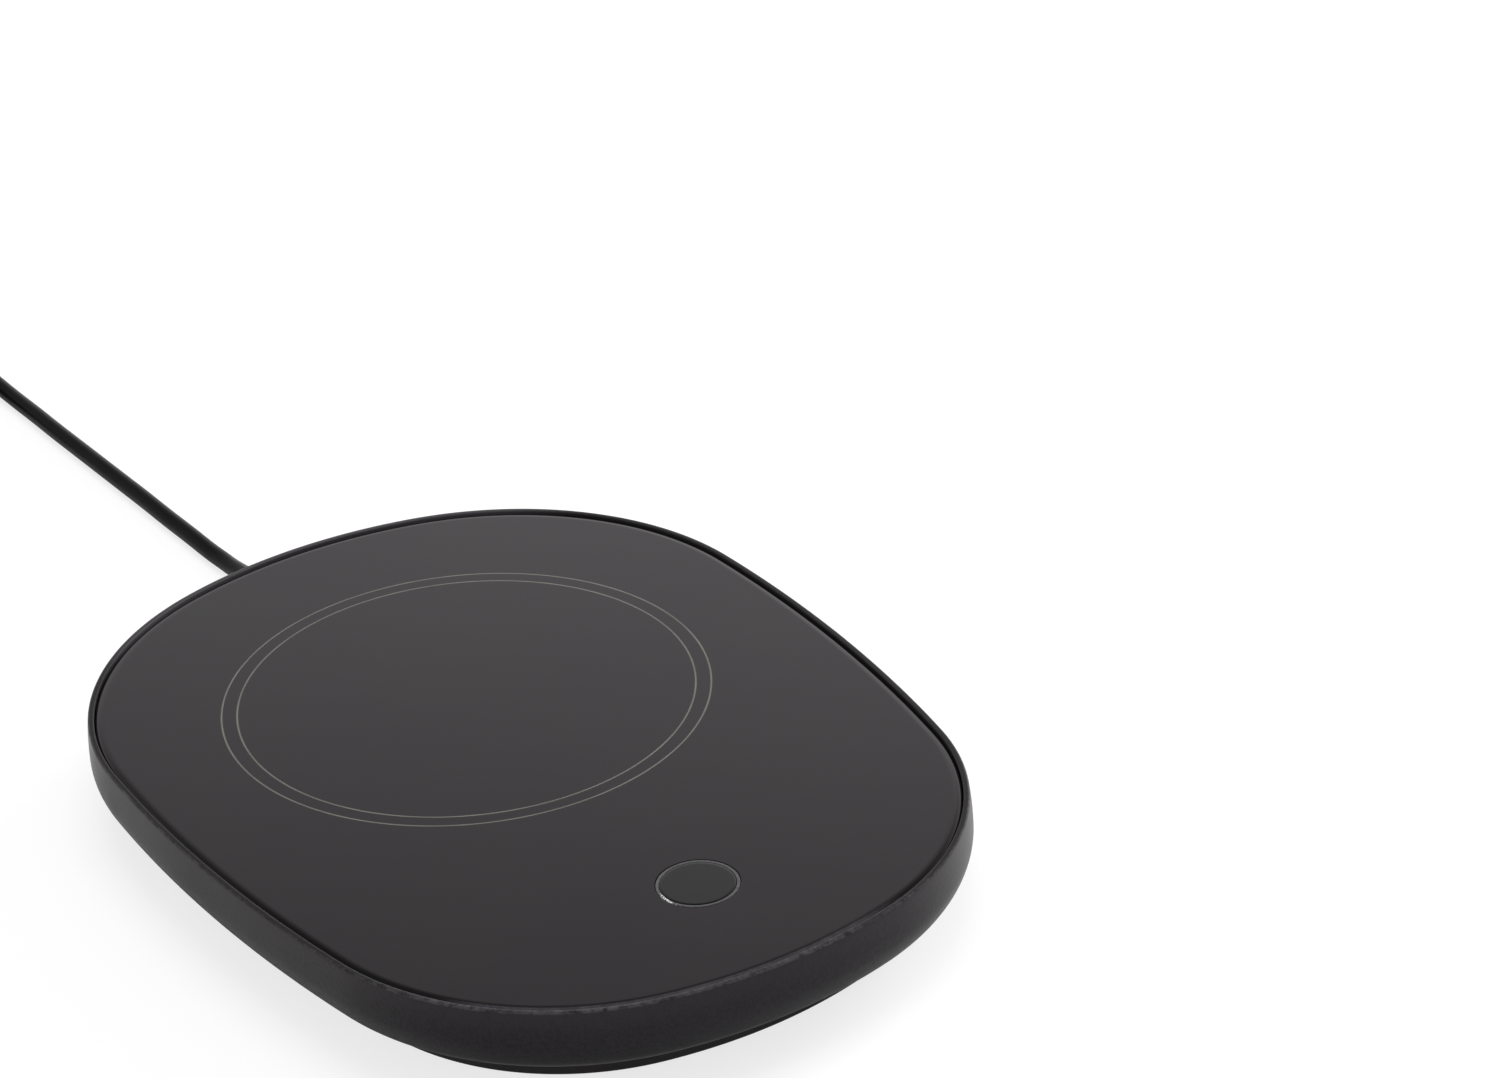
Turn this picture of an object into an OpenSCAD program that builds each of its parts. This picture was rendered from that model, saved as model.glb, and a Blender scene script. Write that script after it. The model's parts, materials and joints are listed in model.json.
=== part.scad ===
// Electric mug warmer with a glass top, a push button and a mains lead.
// Millimetres. +Z is up, the feet stand on z = 0, -Y is the front (button) and +Y is the back (lead).

/* [Outline] */
// Width of the body at the rim
body_w = 118.1; // [112:0.1:126]
// Length of the body at the rim
body_l = 158.5; // [154:0.1:168]
// Radius of the back edge
back_r = 76; // [72:0.5:84]
// Radius of the two back corners
back_corner_r = 51.4; // [46:0.2:54]
// Radius of the long sides
side_r = 287; // [250:1:340]
// Radius of the two front corners
front_corner_r = 47.4; // [42:0.2:50]
// Radius of the front edge
front_r = 81; // [74:0.5:92]
// Distance from the back edge to the widest place
widest_from_back = 68.3; // [62:0.1:74]

/* [Heights] */
// Height of the rim above the surface
body_h = 17.3; // [17.3:0.1:22]
// How far the glass lies below the rim
glass_drop = 0.3; // [0.3:0.1:0.8]
// Height of the seam between the housing and the base cover
seam_z = 5; // [4.4:0.1:5.6]
// Gap under the base cover
foot_show = 0.8; // [0.6:0.1:1.4]

/* [Wall] */
// How far below the glass the wall is widest
bulge_depth = 5.5; // [4:0.1:7]
// How far the wall bulges past the rim
wall_bulge = 0.4; // [0:0.1:1]
// How far the rounded wall tucks in at the seam
wall_tuck = 6.8; // [6:0.1:8]
// Wall thickness of the housing
wall_t = 2.2; // [1.8:0.1:2.6]
// Width of the rim's flat top
rim_t = 1; // [0.8:0.1:2]
// Thickness of the deck under the glass
deck_t = 1.6; // [1.2:0.1:2]
// Step from the housing in to the base cover at the seam
base_step = 0.4; // [0.3:0.1:1]
// How far the base cover narrows from the seam to its underside
base_taper = 1.4; // [0.8:0.1:2.4]
// Thickness of the base cover's floor
floor_t = 1.8; // [1.6:0.1:2]
// Thickness of the base cover's locating lip
lip_t = 1.2; // [1:0.1:1.6]
// Height of the lip above the seam
lip_h = 1.8; // [1.2:0.1:2]
// Clearance between the lip and the housing
lip_gap = 0.2; // [0.1:0.05:0.4]

/* [Glass] */
// Glass thickness
glass_t = 3; // [2.5:0.1:3.2]
// Groove between the rim and the glass
glass_gap = 0.2; // [0.2:0.05:0.5]
// Bevel of the glass edge
glass_bevel = 0.5; // [0.3:0.1:0.8]
// Thickness of the adhesive bead
glue_t = 0.4; // [0.3:0.1:0.5]
// Width of the adhesive bead
glue_w = 3.5; // [2:0.1:5]
// Distance from the glass edge or a hole to the bead
glue_in = 0.6; // [0.3:0.1:1.2]

/* [Heater] */
// Distance from the back edge to the heater's centre
heater_from_back = 61.4; // [60.2:0.1:63]
// Radius of the heat plate
plate_r = 38.5; // [34:0.5:39]
// Thickness of the heat plate
plate_t = 1.6; // [1.2:0.1:2]
// Radius of the heating film
film_r = 37; // [33:0.5:38]
// Thickness of the heating film
film_t = 0.4; // [0.3:0.05:0.5]
// Thickness of the resistance track
track_t = 0.2; // [0.1:0.05:0.3]
// Width of the track
track_w = 1.6; // [1:0.1:2]
// Radius of the innermost ring
track_first_r = 10; // [7:0.1:12]
// Distance from the film's edge to the outermost ring
track_edge = 3; // [2:0.1:5]
// Number of rings
track_turns = 7; // [3:2:7]
// Half the gap between the two halves of the track
track_gap = 2; // [1.5:0.1:3]
// Radius of the insulation pad
pad_r = 38; // [34:0.5:39]
// Thickness of the insulation pad
pad_t = 2.8; // [2.2:0.1:3]
// Clearance around the plate in the deck's opening
plate_gap = 3.5; // [2.5:0.1:4]
// Radius of the bracket's plate
bracket_r = 40; // [36:0.5:41]
// Thickness of the bracket
bracket_t = 0.8; // [0.6:0.1:1]
// Radius of the circle of bracket screws
bracket_screw_r = 46; // [45:0.1:47]
// Angle of the bracket's ears from the sides
bracket_screw_a = 30; // [24:1:36]
// Radius of the bracket's ears
ear_r = 4.5; // [4.2:0.1:5]
// Width of the arms that carry the ears
ear_w = 8; // [6:0.1:8.2]
// Radius of the temperature probe
probe_r = 2.4; // [2:0.1:3]
// Radius of the probe's flange
probe_flange_r = 4; // [3.6:0.1:5]
// Thickness of the probe's flange
probe_flange_t = 0.8; // [0.6:0.1:1]
// Clearance around the probe
probe_gap = 0.4; // [0.2:0.05:0.6]
// Radius of the thermal fuse
fuse_r = 1.5; // [1.2:0.1:1.8]
// Length of the thermal fuse
fuse_l = 9; // [8:0.5:11]
// Distance of the thermal fuse behind the heater's centre
fuse_back = 16; // [14:0.5:20]
// Length of each lead of the thermal fuse
fuse_lead_l = 6; // [4:0.5:8]
// Width of the fuse's clip
clip_w = 4; // [3:0.1:5]
// Thickness of the fuse's clip
clip_t = 0.5; // [0.4:0.05:0.6]
// Length of each foot of the clip
clip_foot = 3.5; // [2.5:0.1:4.5]
// Distance from the middle to each heater terminal
terminal_x = 6; // [5:0.1:8]
// Width of a terminal
terminal_w = 3; // [2.4:0.1:3.6]
// Length of a terminal
terminal_l = 1.8; // [1.4:0.1:1.8]
// Height of a terminal
terminal_h = 2.4; // [2:0.1:2.8]

/* [Button] */
// Distance from the front edge to the button's centre
button_from_front = 26.3; // [25:0.1:28]
// Inner radius of the light ring
ring_in_r = 5.95; // [5.5:0.05:6.5]
// Width of the light ring at the glass
ring_w = 0.5; // [0.3:0.05:0.6]
// Clearance between the light ring and the glass
ring_gap = 0.1; // [0.05:0.01:0.2]
// Running clearance of the button in the ring
button_gap = 0.08; // [0.05:0.01:0.1]
// Travel of the button
button_travel = 0.5; // [0.3:0.05:0.6]
// Thickness of the button's top
button_top_t = 1.5; // [1.2:0.1:2]
// Wall thickness of the button's skirt
button_wall = 1.2; // [1:0.1:1.4]
// Radius of the button's stem
stem_r = 1.8; // [1.6:0.1:2.2]
// Width of the button's retaining flange
retain_w = 1.05; // [0.8:0.05:1.1]
// Thickness of the retaining flange
retain_t = 1.05; // [0.9:0.05:1.2]
// Gap between two moving pieces that almost touch
touch_gap = 0.05; // [0.03:0.01:0.1]
// Thickness of the light ring's flange under the deck
ring_flange_t = 1.6; // [1.4:0.1:1.7]
// Radius of the light ring's flange
ring_flange_r = 9; // [8.8:0.1:9.4]
// Thickness of the light ring's collar inside the deck
ring_collar = 1.2; // [1:0.1:1.4]

/* [Board] */
// Width of the control board
board_w = 54; // [52:0.5:55]
// Length of the control board
board_l = 32; // [31:0.5:33]
// Thickness of the control board
board_t = 1.6; // [1.2:0.1:1.6]
// Distance from the button's centre to the board's front edge
board_ahead = 8; // [7.5:0.1:8.5]
// Distance from the deck down to the board
board_drop = 6.2; // [6:0.1:6.3]
// Distance of the board's screws from its edges
board_screw_in = 3.9; // [3.5:0.1:4.2]
// Width of the switch
switch_w = 6; // [5.6:0.1:6.2]
// Height of the switch
switch_h = 2.8; // [2.6:0.1:2.9]
// Radius of the switch's plunger
plunger_r = 1.74; // [1.5:0.01:1.76]
// Running clearance of the plunger
plunger_gap = 0.06; // [0.04:0.01:0.1]
// Length of the plunger inside the switch
plunger_in = 0.85; // [0.6:0.05:1]

/* [Board parts] */
// Filter capacitor: width, length and height
filter_size = [13, 6, 5.4]; // [1:0.1:14]
// Bridge rectifier: width, length and height
bridge_size = [4, 5, 2.4]; // [1:0.1:6]
// Smoothing capacitor's radius
can_r = 2.8; // [2:0.1:2.9]
// Smoothing capacitor's length
can_l = 9; // [7:0.1:9.5]
// Triac: width, length and height
triac_size = [10, 8.6, 4.4]; // [1:0.1:11]
// Triac's tab: width, length and height
tab_size = [10, 5.2, 1.3]; // [1:0.1:11]
// Radius of the hole in the triac's tab
tab_hole_r = 1.6; // [1.2:0.1:1.8]
// Controller chip: width, length and height
chip_size = [3.9, 5, 1.5]; // [1:0.1:6]
// Board fuse's radius
board_fuse_r = 1.6; // [1.4:0.1:2]
// Board fuse's length
board_fuse_l = 8; // [6:0.5:10]
// Mains and heater connectors: width, length and height
connector_size = [8.6, 6, 5.4]; // [4:0.1:9]
// Sensor connector: width, length and height
sensor_plug_size = [6, 4.5, 4.4]; // [4:0.1:7]
// Spacing of the wires in the mains and heater connectors
way_pitch = 3.6; // [3:0.1:4.4]
// Spacing of the thin wires
thin_pitch = 2; // [1.6:0.1:3]
// Depth to which a wire enters a connector
way_depth = 1.2; // [1:0.1:2]
// Clearance of a wire in a connector
way_gap = 0.1; // [0.05:0.05:0.2]
// Gap between a wire's end and the piece that it is joined to
wire_gap = 0.25; // [0.25:0.05:0.4]
// Indicator lamp: width, length and height
led_size = [1.4, 2.4, 1.1]; // [0.5:0.1:3]

/* [Screws] */
// Radius of the screws
screw_r = 1.1; // [1:0.05:1.2]
// Radius of the screw heads
head_r = 2.2; // [2:0.1:2.4]
// Height of the screw heads
head_h = 1.2; // [1:0.1:1.2]
// Clearance of a screw in its boss
screw_gap = 0.05; // [0.02:0.01:0.1]
// Clearance of a screw in a plate
hole_gap = 0.3; // [0.2:0.05:0.4]
// Width of the cross slots in a screw head
drive_w = 0.6; // [0.4:0.1:0.8]
// Length of the cross slots
drive_l = 2.8; // [2:0.1:3]
// Depth of the cross slots
drive_d = 0.6; // [0.4:0.1:0.8]
// How far a boss's bore runs past the screw's tip
boss_spare = 0.6; // [0.3:0.1:0.7]
// Length of a bracket screw in its boss
bracket_reach = 2.2; // [1.8:0.1:2.3]
// Length of a board screw in its boss
board_reach = 2.4; // [2:0.1:4]
// Length of a clamp screw in its post
clamp_reach = 3; // [2:0.1:4]
// Wall thickness of a boss
boss_wall = 1.6; // [1.4:0.1:2]
// How far the housing screws reach above the base cover's floor
screw_reach = 6; // [4:0.5:8]
// Distance from the rim's outline to the back screws
back_screw_in = 14; // [13:0.1:16]
// Angle of the back screws about the corner's centre
back_screw_a = 53.6; // [50:0.1:58]
// Distance from the rim's outline to the front screws
front_screw_in = 19.8; // [17:0.1:21]
// Angle of the front screws about the corner's centre
front_screw_a = -19; // [-24:0.5:-14]

/* [Feet and vents] */
// Radius of the feet
foot_r = 5.5; // [4.5:0.1:6]
// Depth of a foot's recess
foot_sink = 1.2; // [0.8:0.1:1.2]
// Step around the underside of a foot
foot_edge = 0.4; // [0.2:0.1:0.6]
// Clearance around a foot
foot_gap = 0.1; // [0.05:0.05:0.2]
// Distance from the rim's outline to the back feet
back_foot_in = 18.2; // [17:0.1:20]
// Angle of the back feet about the corner's centre
back_foot_a = 35.5; // [30:0.5:38]
// Distance from the rim's outline to the front feet
front_foot_in = 15.9; // [15.5:0.1:18]
// Angle of the front feet about the corner's centre
front_foot_a = -59; // [-64:0.5:-54]
// Number of vent slots
vent_count = 7; // [3:1:9]
// Width of a vent slot
vent_w = 2; // [1:0.1:3]
// Length of a vent slot
vent_l = 26; // [10:1:34]
// Spacing of the vent slots
vent_pitch = 6; // [4:0.1:7]

/* [Lead] */
// Radius of the lead
cord_r = 1.6; // [1.5:0.05:1.7]
// Radius of a wire
wire_r = 0.8; // [0.6:0.05:0.9]
// Radius of a thin wire
thin_wire_r = 0.4; // [0.3:0.05:0.5]
// Height of the lead where it passes the wall
relief_z = 7.2; // [7:0.1:7.4]
// Radius of the strain relief in the wall
relief_r = 3; // [2.8:0.1:3.2]
// Radius of the strain relief at its tip
relief_tip_r = 2; // [1.8:0.1:2.4]
// How far the strain relief runs straight past the back edge
relief_out = 0.75; // [0.5:0.05:1.5]
// Clearance of the strain relief in the wall
relief_gap = 0.05; // [0.02:0.01:0.1]
// Radius of the strain relief's inner flange
relief_flange_r = 4.3; // [4:0.1:4.4]
// Thickness of the inner flange
relief_flange_t = 1.5; // [1:0.1:2]
// Clearance behind the inner flange
flange_gap = 0.2; // [0.15:0.05:0.3]
// Length of the jacket inside the body
inner_lead_l = 8.5; // [8:0.1:9.5]
// Length of the cord clamp
clamp_l = 18; // [17:0.5:20]
// Width of the cord clamp
clamp_w = 5; // [4:0.1:5]
// Thickness of the cord clamp
clamp_t = 1.4; // [1.2:0.1:1.5]
// Distance between the clamp's screws
clamp_pitch = 13; // [12:0.1:14]
// Distance from the strain relief's flange to the clamp's centre
clamp_in = 4.75; // [4.4:0.05:5]
// Length of the rib under the clamp
rib_l = 4; // [2:0.5:5]

/* [Coil and plug] */
// Radius of the coil's opening
coil_in_r = 11.2; // [11:0.1:12]
// Outer radius of the coil
coil_out_r = 28.8; // [28:0.1:29.6]
// Thickness of the tie's strap
tie_t = 0.4; // [0.3:0.05:0.6]
// Width of the tie's strap
tie_w = 5; // [3:0.5:8]
// Clearance of the tie around the coil
tie_gap = 0.05; // [0.02:0.01:0.1]
// Width of the plug's body
plug_w = 21; // [20:0.5:24]
// Length of the plug's body
plug_l = 23; // [20:0.5:26]
// Thickness of the plug's body
plug_t = 12.6; // [11:0.1:14]
// Corner radius of the plug's body
plug_round = 4; // [2:0.5:5]
// Length of the plug's boot
boot_l = 12; // [10:0.5:16]
// Radius of the boot at the plug
boot_r = 3.4; // [3:0.1:4]
// Radius of the boot at the lead
boot_tip_r = 2.1; // [1.8:0.1:2.4]
// Distance between the blades
blade_pitch = 12.7; // [12.7:0.1:12.8]
// Width of a blade
blade_w = 6.35; // [6.3:0.05:6.4]
// Thickness of a blade
blade_t = 1.5; // [1.4:0.05:1.6]
// Length of a blade outside the plug
blade_l = 16.5; // [16:0.1:18]
// Depth of a blade in the plug
blade_in = 5; // [3:0.5:8]
// Clearance of a blade in the plug
blade_gap = 0.05; // [0.02:0.01:0.1]
// Radius of the hole in a blade
blade_hole_r = 1.6; // [1.4:0.1:1.7]
// Distance from a blade's tip to its hole
blade_hole_in = 4.3; // [4:0.1:5]

/* [Hidden] */
$fn = 64;
eps = 0.01;

// Heights, from the rim down
glass_z = body_h - glass_drop;
glass_under_z = glass_z - glass_t;
deck_top_z = glass_under_z - glue_t;
deck_z = deck_top_z - deck_t;
film_z = glass_under_z - plate_t - film_t;
track_z = film_z - track_t;
pad_z = track_z - pad_t;
bracket_z = pad_z - bracket_t;
board_top_z = deck_z - board_drop;
board_z = board_top_z - board_t;
bulge_z = glass_z - bulge_depth;

// Heights of the base cover, from the surface up
floor_z = foot_show + floor_t;
head_seat_z = foot_show + head_h;
clamp_z = relief_z + cord_r;
wire_bed_z = floor_z + wire_r + 0.2;

// Insets from the rim's outline to the base cover's side, its lip and the room inside it
base_in = wall_tuck - wall_bulge + base_step;
lip_in = wall_tuck - wall_bulge + wall_t + lip_gap;
pocket_in = lip_in + lip_t;

// Places along Y
heater_y = body_l / 2 - heater_from_back;
button_y = -body_l / 2 + button_from_front;
board_front_y = button_y - board_ahead;
board_back_y = board_front_y + board_l;
exit_y = body_l / 2 + relief_out;
flange_back_y = body_l / 2 - pocket_in - flange_gap;
flange_front_y = flange_back_y - relief_flange_t;
clamp_y = flange_front_y - clamp_in;
lead_end_y = flange_front_y - inner_lead_l;

// Radii that follow from the sizes above
opening_r = plate_r + plate_gap;
boss_r = screw_r + screw_gap + boss_wall;
track_half = track_w / 2;
track_last_r = film_r - track_edge;
track_pitch = (track_last_r - track_first_r) / (track_turns - 1);

// The button's stack
button_r = ring_in_r - button_gap;
ring_out_r = ring_in_r + ring_w;
glass_hole_r = ring_out_r + ring_gap;
collar_r = ring_out_r + ring_collar;
deck_hole_r = collar_r + ring_gap;
ring_z = deck_z - ring_flange_t;
retain_z = ring_z - touch_gap - retain_t;
plunger_top_z = retain_z - touch_gap;
switch_top_z = board_top_z + switch_h;

// The outline's arcs: centres of the side, back, front and corner arcs
side_c = [body_w / 2 - side_r, body_l / 2 - widest_from_back];
back_c = [0, body_l / 2 - back_r];
front_c = [0, front_r - body_l / 2];
back_corner_c = meet(side_c, side_r - back_corner_r, back_c, back_r - back_corner_r, 1);
front_corner_c = meet(side_c, side_r - front_corner_r, front_c, front_r - front_corner_r, -1);

// Where two circles cross: up = 1 takes the crossing further back, -1 the one further forward
function meet(c1, r1, c2, r2, up) =
    let(d = norm(c2 - c1), a = (r1 * r1 - r2 * r2 + d * d) / (2 * d), h = sqrt(r1 * r1 - a * a),
        u = (c2 - c1) / d, n = [-u[1], u[0]], p = c1 + a * u + h * n, q = c1 + a * u - h * n)
    (p[1] - q[1]) * up > 0 ? p : q;
function heading(v) = atan2(v[1], v[0]);
function arc(c, r, a0, a1, n) =
    [for (i = [0 : n - 1]) let(a = a0 + (a1 - a0) * i / n) c + r * [cos(a), sin(a)]];

// The right half of the outline, from back to front, moved inwards by d
function half_outline(d) =
    let(a1 = heading(back_corner_c - back_c), a2 = heading(back_corner_c - side_c),
        a3 = heading(front_corner_c - side_c), a4 = heading(front_corner_c - front_c))
    concat(arc(back_c, back_r - d, 90, a1, 4), arc(back_corner_c, back_corner_r - d, a1, a2, 12),
           arc(side_c, side_r - d, a2, a3, 4), arc(front_corner_c, front_corner_r - d, a3, a4, 12),
           arc(front_c, front_r - d, a4, -90, 4));
function mirrored(p) = [for (i = [len(p) - 1 : -1 : 1]) [-p[i][0], p[i][1]]];
function outline(d) = let(h = half_outline(d)) concat(h, [front_c - [0, front_r - d]], mirrored(h));

// A place inside a corner: its distance from the rim's outline and its angle about the corner's centre
function in_corner(c, r, inset, a) = c + (r - inset) * [cos(a), sin(a)];
function both_sides(p) = [p, [-p[0], p[1]]];
back_foot = in_corner(back_corner_c, back_corner_r, back_foot_in, back_foot_a);
front_foot = in_corner(front_corner_c, front_corner_r, front_foot_in, front_foot_a);
foot_places = concat(both_sides(back_foot), both_sides(front_foot));
screw_places = concat(both_sides(in_corner(back_corner_c, back_corner_r, back_screw_in, back_screw_a)),
                      both_sides(in_corner(front_corner_c, front_corner_r, front_screw_in, front_screw_a)));
ear_angles = [for (side = [0, 180], s = [-1, 1]) side + s * bracket_screw_a];
ear_places = [for (a = ear_angles) [0, heater_y] + bracket_screw_r * [cos(a), sin(a)]];
board_screw_places = [for (y = [board_front_y + board_screw_in, board_back_y - board_screw_in], s = [-1, 1])
                         [s * (board_w / 2 - board_screw_in), y]];
clamp_screw_places = [for (s = [-1, 1]) [s * clamp_pitch / 2, clamp_y]];

// How far the wall stands outside the rim's outline: a parabola above its widest place, an ellipse below it
function upper_wall(z) = wall_bulge * (1 - pow((z - bulge_z) / (body_h - bulge_z), 2));

// Slices of the outer wall, of the room inside it and of the base cover, each [height, inset]
rim_edge = 0.35;
base_edge = 0.6;
room_z = seam_z + 2;
steps = [for (i = [1 : 6]) 15 * i];
wall_slices = concat([[body_h, rim_edge]],
    [for (t = [0.06, 0.35, 0.7, 1]) let(z = body_h + (bulge_z - body_h) * t) [z, -upper_wall(z)]],
    [for (a = steps) [bulge_z - (bulge_z - seam_z) * sin(a), -wall_bulge + wall_tuck * (1 - cos(a))]]);
room_in = wall_t - wall_bulge;
room_slices = concat([[deck_z, room_in]],
    [for (a = steps) [bulge_z - (bulge_z - room_z) * sin(a), room_in + wall_tuck * (1 - cos(a))]]);
base_slices = [[seam_z, base_in], [foot_show + base_edge, base_in + base_taper / 2],
               [foot_show, base_in + base_taper]];

// A swept tube: the rings of points around each place on a route
function unit(v) = v / norm(v);
function along(p, i) = unit(p[min(i + 1, len(p) - 1)] - p[max(i - 1, 0)]);
function tube_ring(p, i, r, sides) =
    let(t = along(p, i), u = unit(cross([0, 0, 1], t)), w = cross(t, u))
    [for (k = [0 : sides - 1]) p[i] + r * (cos(360 * k / sides) * u + sin(360 * k / sides) * w)];

// A smooth route through a few places, n steps for each stretch
function spline(a, b, c, d, t) =
    0.5 * (2 * b + (c - a) * t + (2 * a - 5 * b + 4 * c - d) * t * t + (3 * b - a - 3 * c + d) * t * t * t);
function smooth(p, n) =
    concat([for (i = [0 : len(p) - 2], k = [0 : n - 1])
               spline(p[max(i - 1, 0)], p[i], p[i + 1], p[min(i + 2, len(p) - 1)], k / n)], [p[len(p) - 1]]);

// The strain relief's tail, the free lead, the coil and the lead to the plug, from where the lead leaves
relief_route = [[0, 0, relief_z], [0, 4, 6.9], [0, 8, 6.1], [0, 12, 5.0], [0, 15.5, 4.0], [0, 18, 3.4]];
cord_route = [[0, 18, 3.4], [0, 20.5, 2.8], [0, 23, 2.35], [0, 26, 1.95], [0, 29.5, 1.7], [-0.2, 34, 1.6],
              [-0.4, 42, 1.6], [-0.7, 51, 1.6], [-0.9, 60, 1.6], [-1.2, 69, 1.6], [-1.5, 78, 1.6],
              [-1.8, 87, 1.6], [-2.1, 96, 1.6], [-2.3, 105, 1.6], [-2.6, 114, 1.6], [-2.9, 123, 1.8],
              [-3.2, 131.5, 2.0], [-3.4, 139, 2.0]];
coil_at = [-30.6, 140];
coil_h = 6.4;
coil_round = 1.2;
tail_route = [[-56.2, 139, 5.2], [-56.2, 134, 5.1], [-56, 128, 4.8], [-55.5, 122, 4.8], [-54.8, 117, 5.2],
              [-54.1, 113, 5.7], [-53.6, 110, 6.1], [-53.4, 107.5, 6.3], [-53.4, 105, 6.3]];
plug_at = [-53.4, 105];
plug_mid_z = plug_t / 2;

// The board's parts: X, and the distance behind the button's centre
filter_at = [-16, 11];
bridge_at = [-6.3, 13];
can_at = [1.6, 14.4];
triac_at = [15, 12.2];
tab_at = [15, 5.4];
chip_at = [-14, -3.5];
board_fuse_at = [-17, 4.6];
mains_at = [-14, board_l - board_ahead - 3.5];
heater_at = [14, board_l - board_ahead - 3.5];
sensor_at = [0, board_l - board_ahead - 3];

// Heater terminals and thermal fuse
terminal_y = heater_y - pad_r - terminal_l / 2 + 0.1;
terminal_front_y = terminal_y - terminal_l / 2;
terminal_mid_z = film_z - terminal_h / 2;
fuse_y = heater_y + fuse_back;
fuse_z = bracket_z - fuse_r;
fuse_end = fuse_l / 2 + fuse_lead_l;
probe_exit_w = thin_pitch + 1.6;
probe_exit_l = 1.6;
probe_exit_y = heater_y - probe_flange_r - 0.6;

// Where a wire enters a connector: straight in from behind it
function way(at, size, x) = [at[0] + x, button_y + at[1] + size[1] / 2, board_top_z + size[2] / 2];
function wire_in(p) = [p + [0, 2, 0], p, p - [0, way_depth, 0]];
live_way = way(mains_at, connector_size, -way_pitch / 2);
neutral_way = way(mains_at, connector_size, way_pitch / 2);
heater_way = way(heater_at, connector_size, -way_pitch / 2);
fuse_way = way(heater_at, connector_size, way_pitch / 2);

// Routes of the wires, from one end to the other through a few places
side_x = body_w / 2 - pocket_in - 4.2;
core_x = 0.85;
core_start_y = lead_end_y - wire_gap;
terminal_end_y = terminal_front_y - wire_gap;
fuse_wire_x = fuse_end + wire_gap;
probe_wire_y = probe_exit_y - wire_gap;
live_route = concat([[-core_x, core_start_y, relief_z], [-core_x, core_start_y - 1.2, relief_z],
                     [-1.4, lead_end_y - 4, relief_z - 1],
                     [-7, heater_y + 33, wire_bed_z + 0.8], [-20, heater_y + 27, wire_bed_z],
                     [-34, heater_y + 16, wire_bed_z], [-side_x, heater_y - 3, wire_bed_z],
                     [1 - side_x, heater_y - 24, wire_bed_z], [-36, heater_y - 37, wire_bed_z],
                     [-25, board_back_y + 3.5, wire_bed_z + 1],
                     [-18.6, board_back_y + 3.3, live_way[2] - 1.7]],
                    wire_in(live_way));
neutral_route = concat([[core_x, core_start_y, relief_z], [core_x, core_start_y - 1.2, relief_z],
                        [0.9, lead_end_y - 4, relief_z - 1.2],
                        [-3.5, heater_y + 30, wire_bed_z + 0.8], [-18, heater_y + 23.5, wire_bed_z],
                        [-31, heater_y + 13, wire_bed_z], [3 - side_x, heater_y - 3, wire_bed_z],
                        [4 - side_x, heater_y - 22, wire_bed_z], [-33, heater_y - 34, wire_bed_z],
                        [-22, board_back_y + 8, wire_bed_z + 1],
                        [-15, board_back_y + 4.8, neutral_way[2] - 1.7]],
                       wire_in(neutral_way));
heater_route = concat([[terminal_x, terminal_end_y, terminal_mid_z],
                       [terminal_x, terminal_front_y - 1.4, terminal_mid_z],
                       [terminal_x + 3.2, terminal_front_y - 3.4, terminal_mid_z - 1.4]],
                      wire_in(heater_way));
fuse_route = concat([[fuse_wire_x, fuse_y, fuse_z], [fuse_end + 2, fuse_y, fuse_z],
                     [fuse_end + 5, fuse_y - 1.2, fuse_z - 0.2], [20, heater_y + 8, bracket_z - 3],
                     [22, heater_y - 6, bracket_z - 3], [20, heater_y - 30, bracket_z - 2.6],
                     [17.5, board_back_y + 5, fuse_way[2] - 1.7]], wire_in(fuse_way));
return_route = [[-fuse_wire_x, fuse_y, fuse_z], [-fuse_end - 2, fuse_y, fuse_z],
                [-fuse_end - 5, fuse_y - 1.2, fuse_z - 0.2], [-20, heater_y + 8, bracket_z - 3],
                [-21, heater_y - 10, bracket_z - 3], [-17, heater_y - 28, bracket_z - 2.8],
                [-11.5, heater_y - 37.5, bracket_z - 2], [-8.8, terminal_front_y - 2.2, bracket_z - 0.2],
                [-terminal_x - 0.7, terminal_front_y - 2.9, terminal_mid_z - 1],
                [-terminal_x, terminal_front_y - 1.4, terminal_mid_z],
                [-terminal_x, terminal_end_y, terminal_mid_z]];
function probe_route(x) =
    concat([[x, probe_wire_y, bracket_z - probe_flange_t / 2], [x, probe_exit_y - 2, bracket_z - 0.9],
            [x, heater_y - 14, bracket_z - 2], [x, heater_y - 30, bracket_z - 2],
            [x, board_back_y + 5, bracket_z - 1.2]],
           wire_in(way(sensor_at, sensor_plug_size, x)));

module from_exit() {
    translate([0, exit_y, 0]) children();
}
module slab(z0, z1) {
    translate([0, 0, z0]) linear_extrude(z1 - z0) children();
}
module body_shape(inset) {
    polygon(outline(inset));
}
module rod(at, z0, z1, r) {
    translate([at[0], at[1], z0]) cylinder(r = r, h = z1 - z0);
}
module rod_y(at, z, y1, r) {
    translate([at[0], at[1], z]) rotate([-90, 0, 0]) cylinder(r = r, h = y1 - at[1]);
}
module along_x(mid, r, l) {
    translate(mid) rotate([0, 90, 0]) cylinder(r = r, h = l, center = true);
}
module block(x0, x1, y0, y1, z0, z1) {
    translate([x0, y0, z0]) cube([x1 - x0, y1 - y0, z1 - z0]);
}

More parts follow.
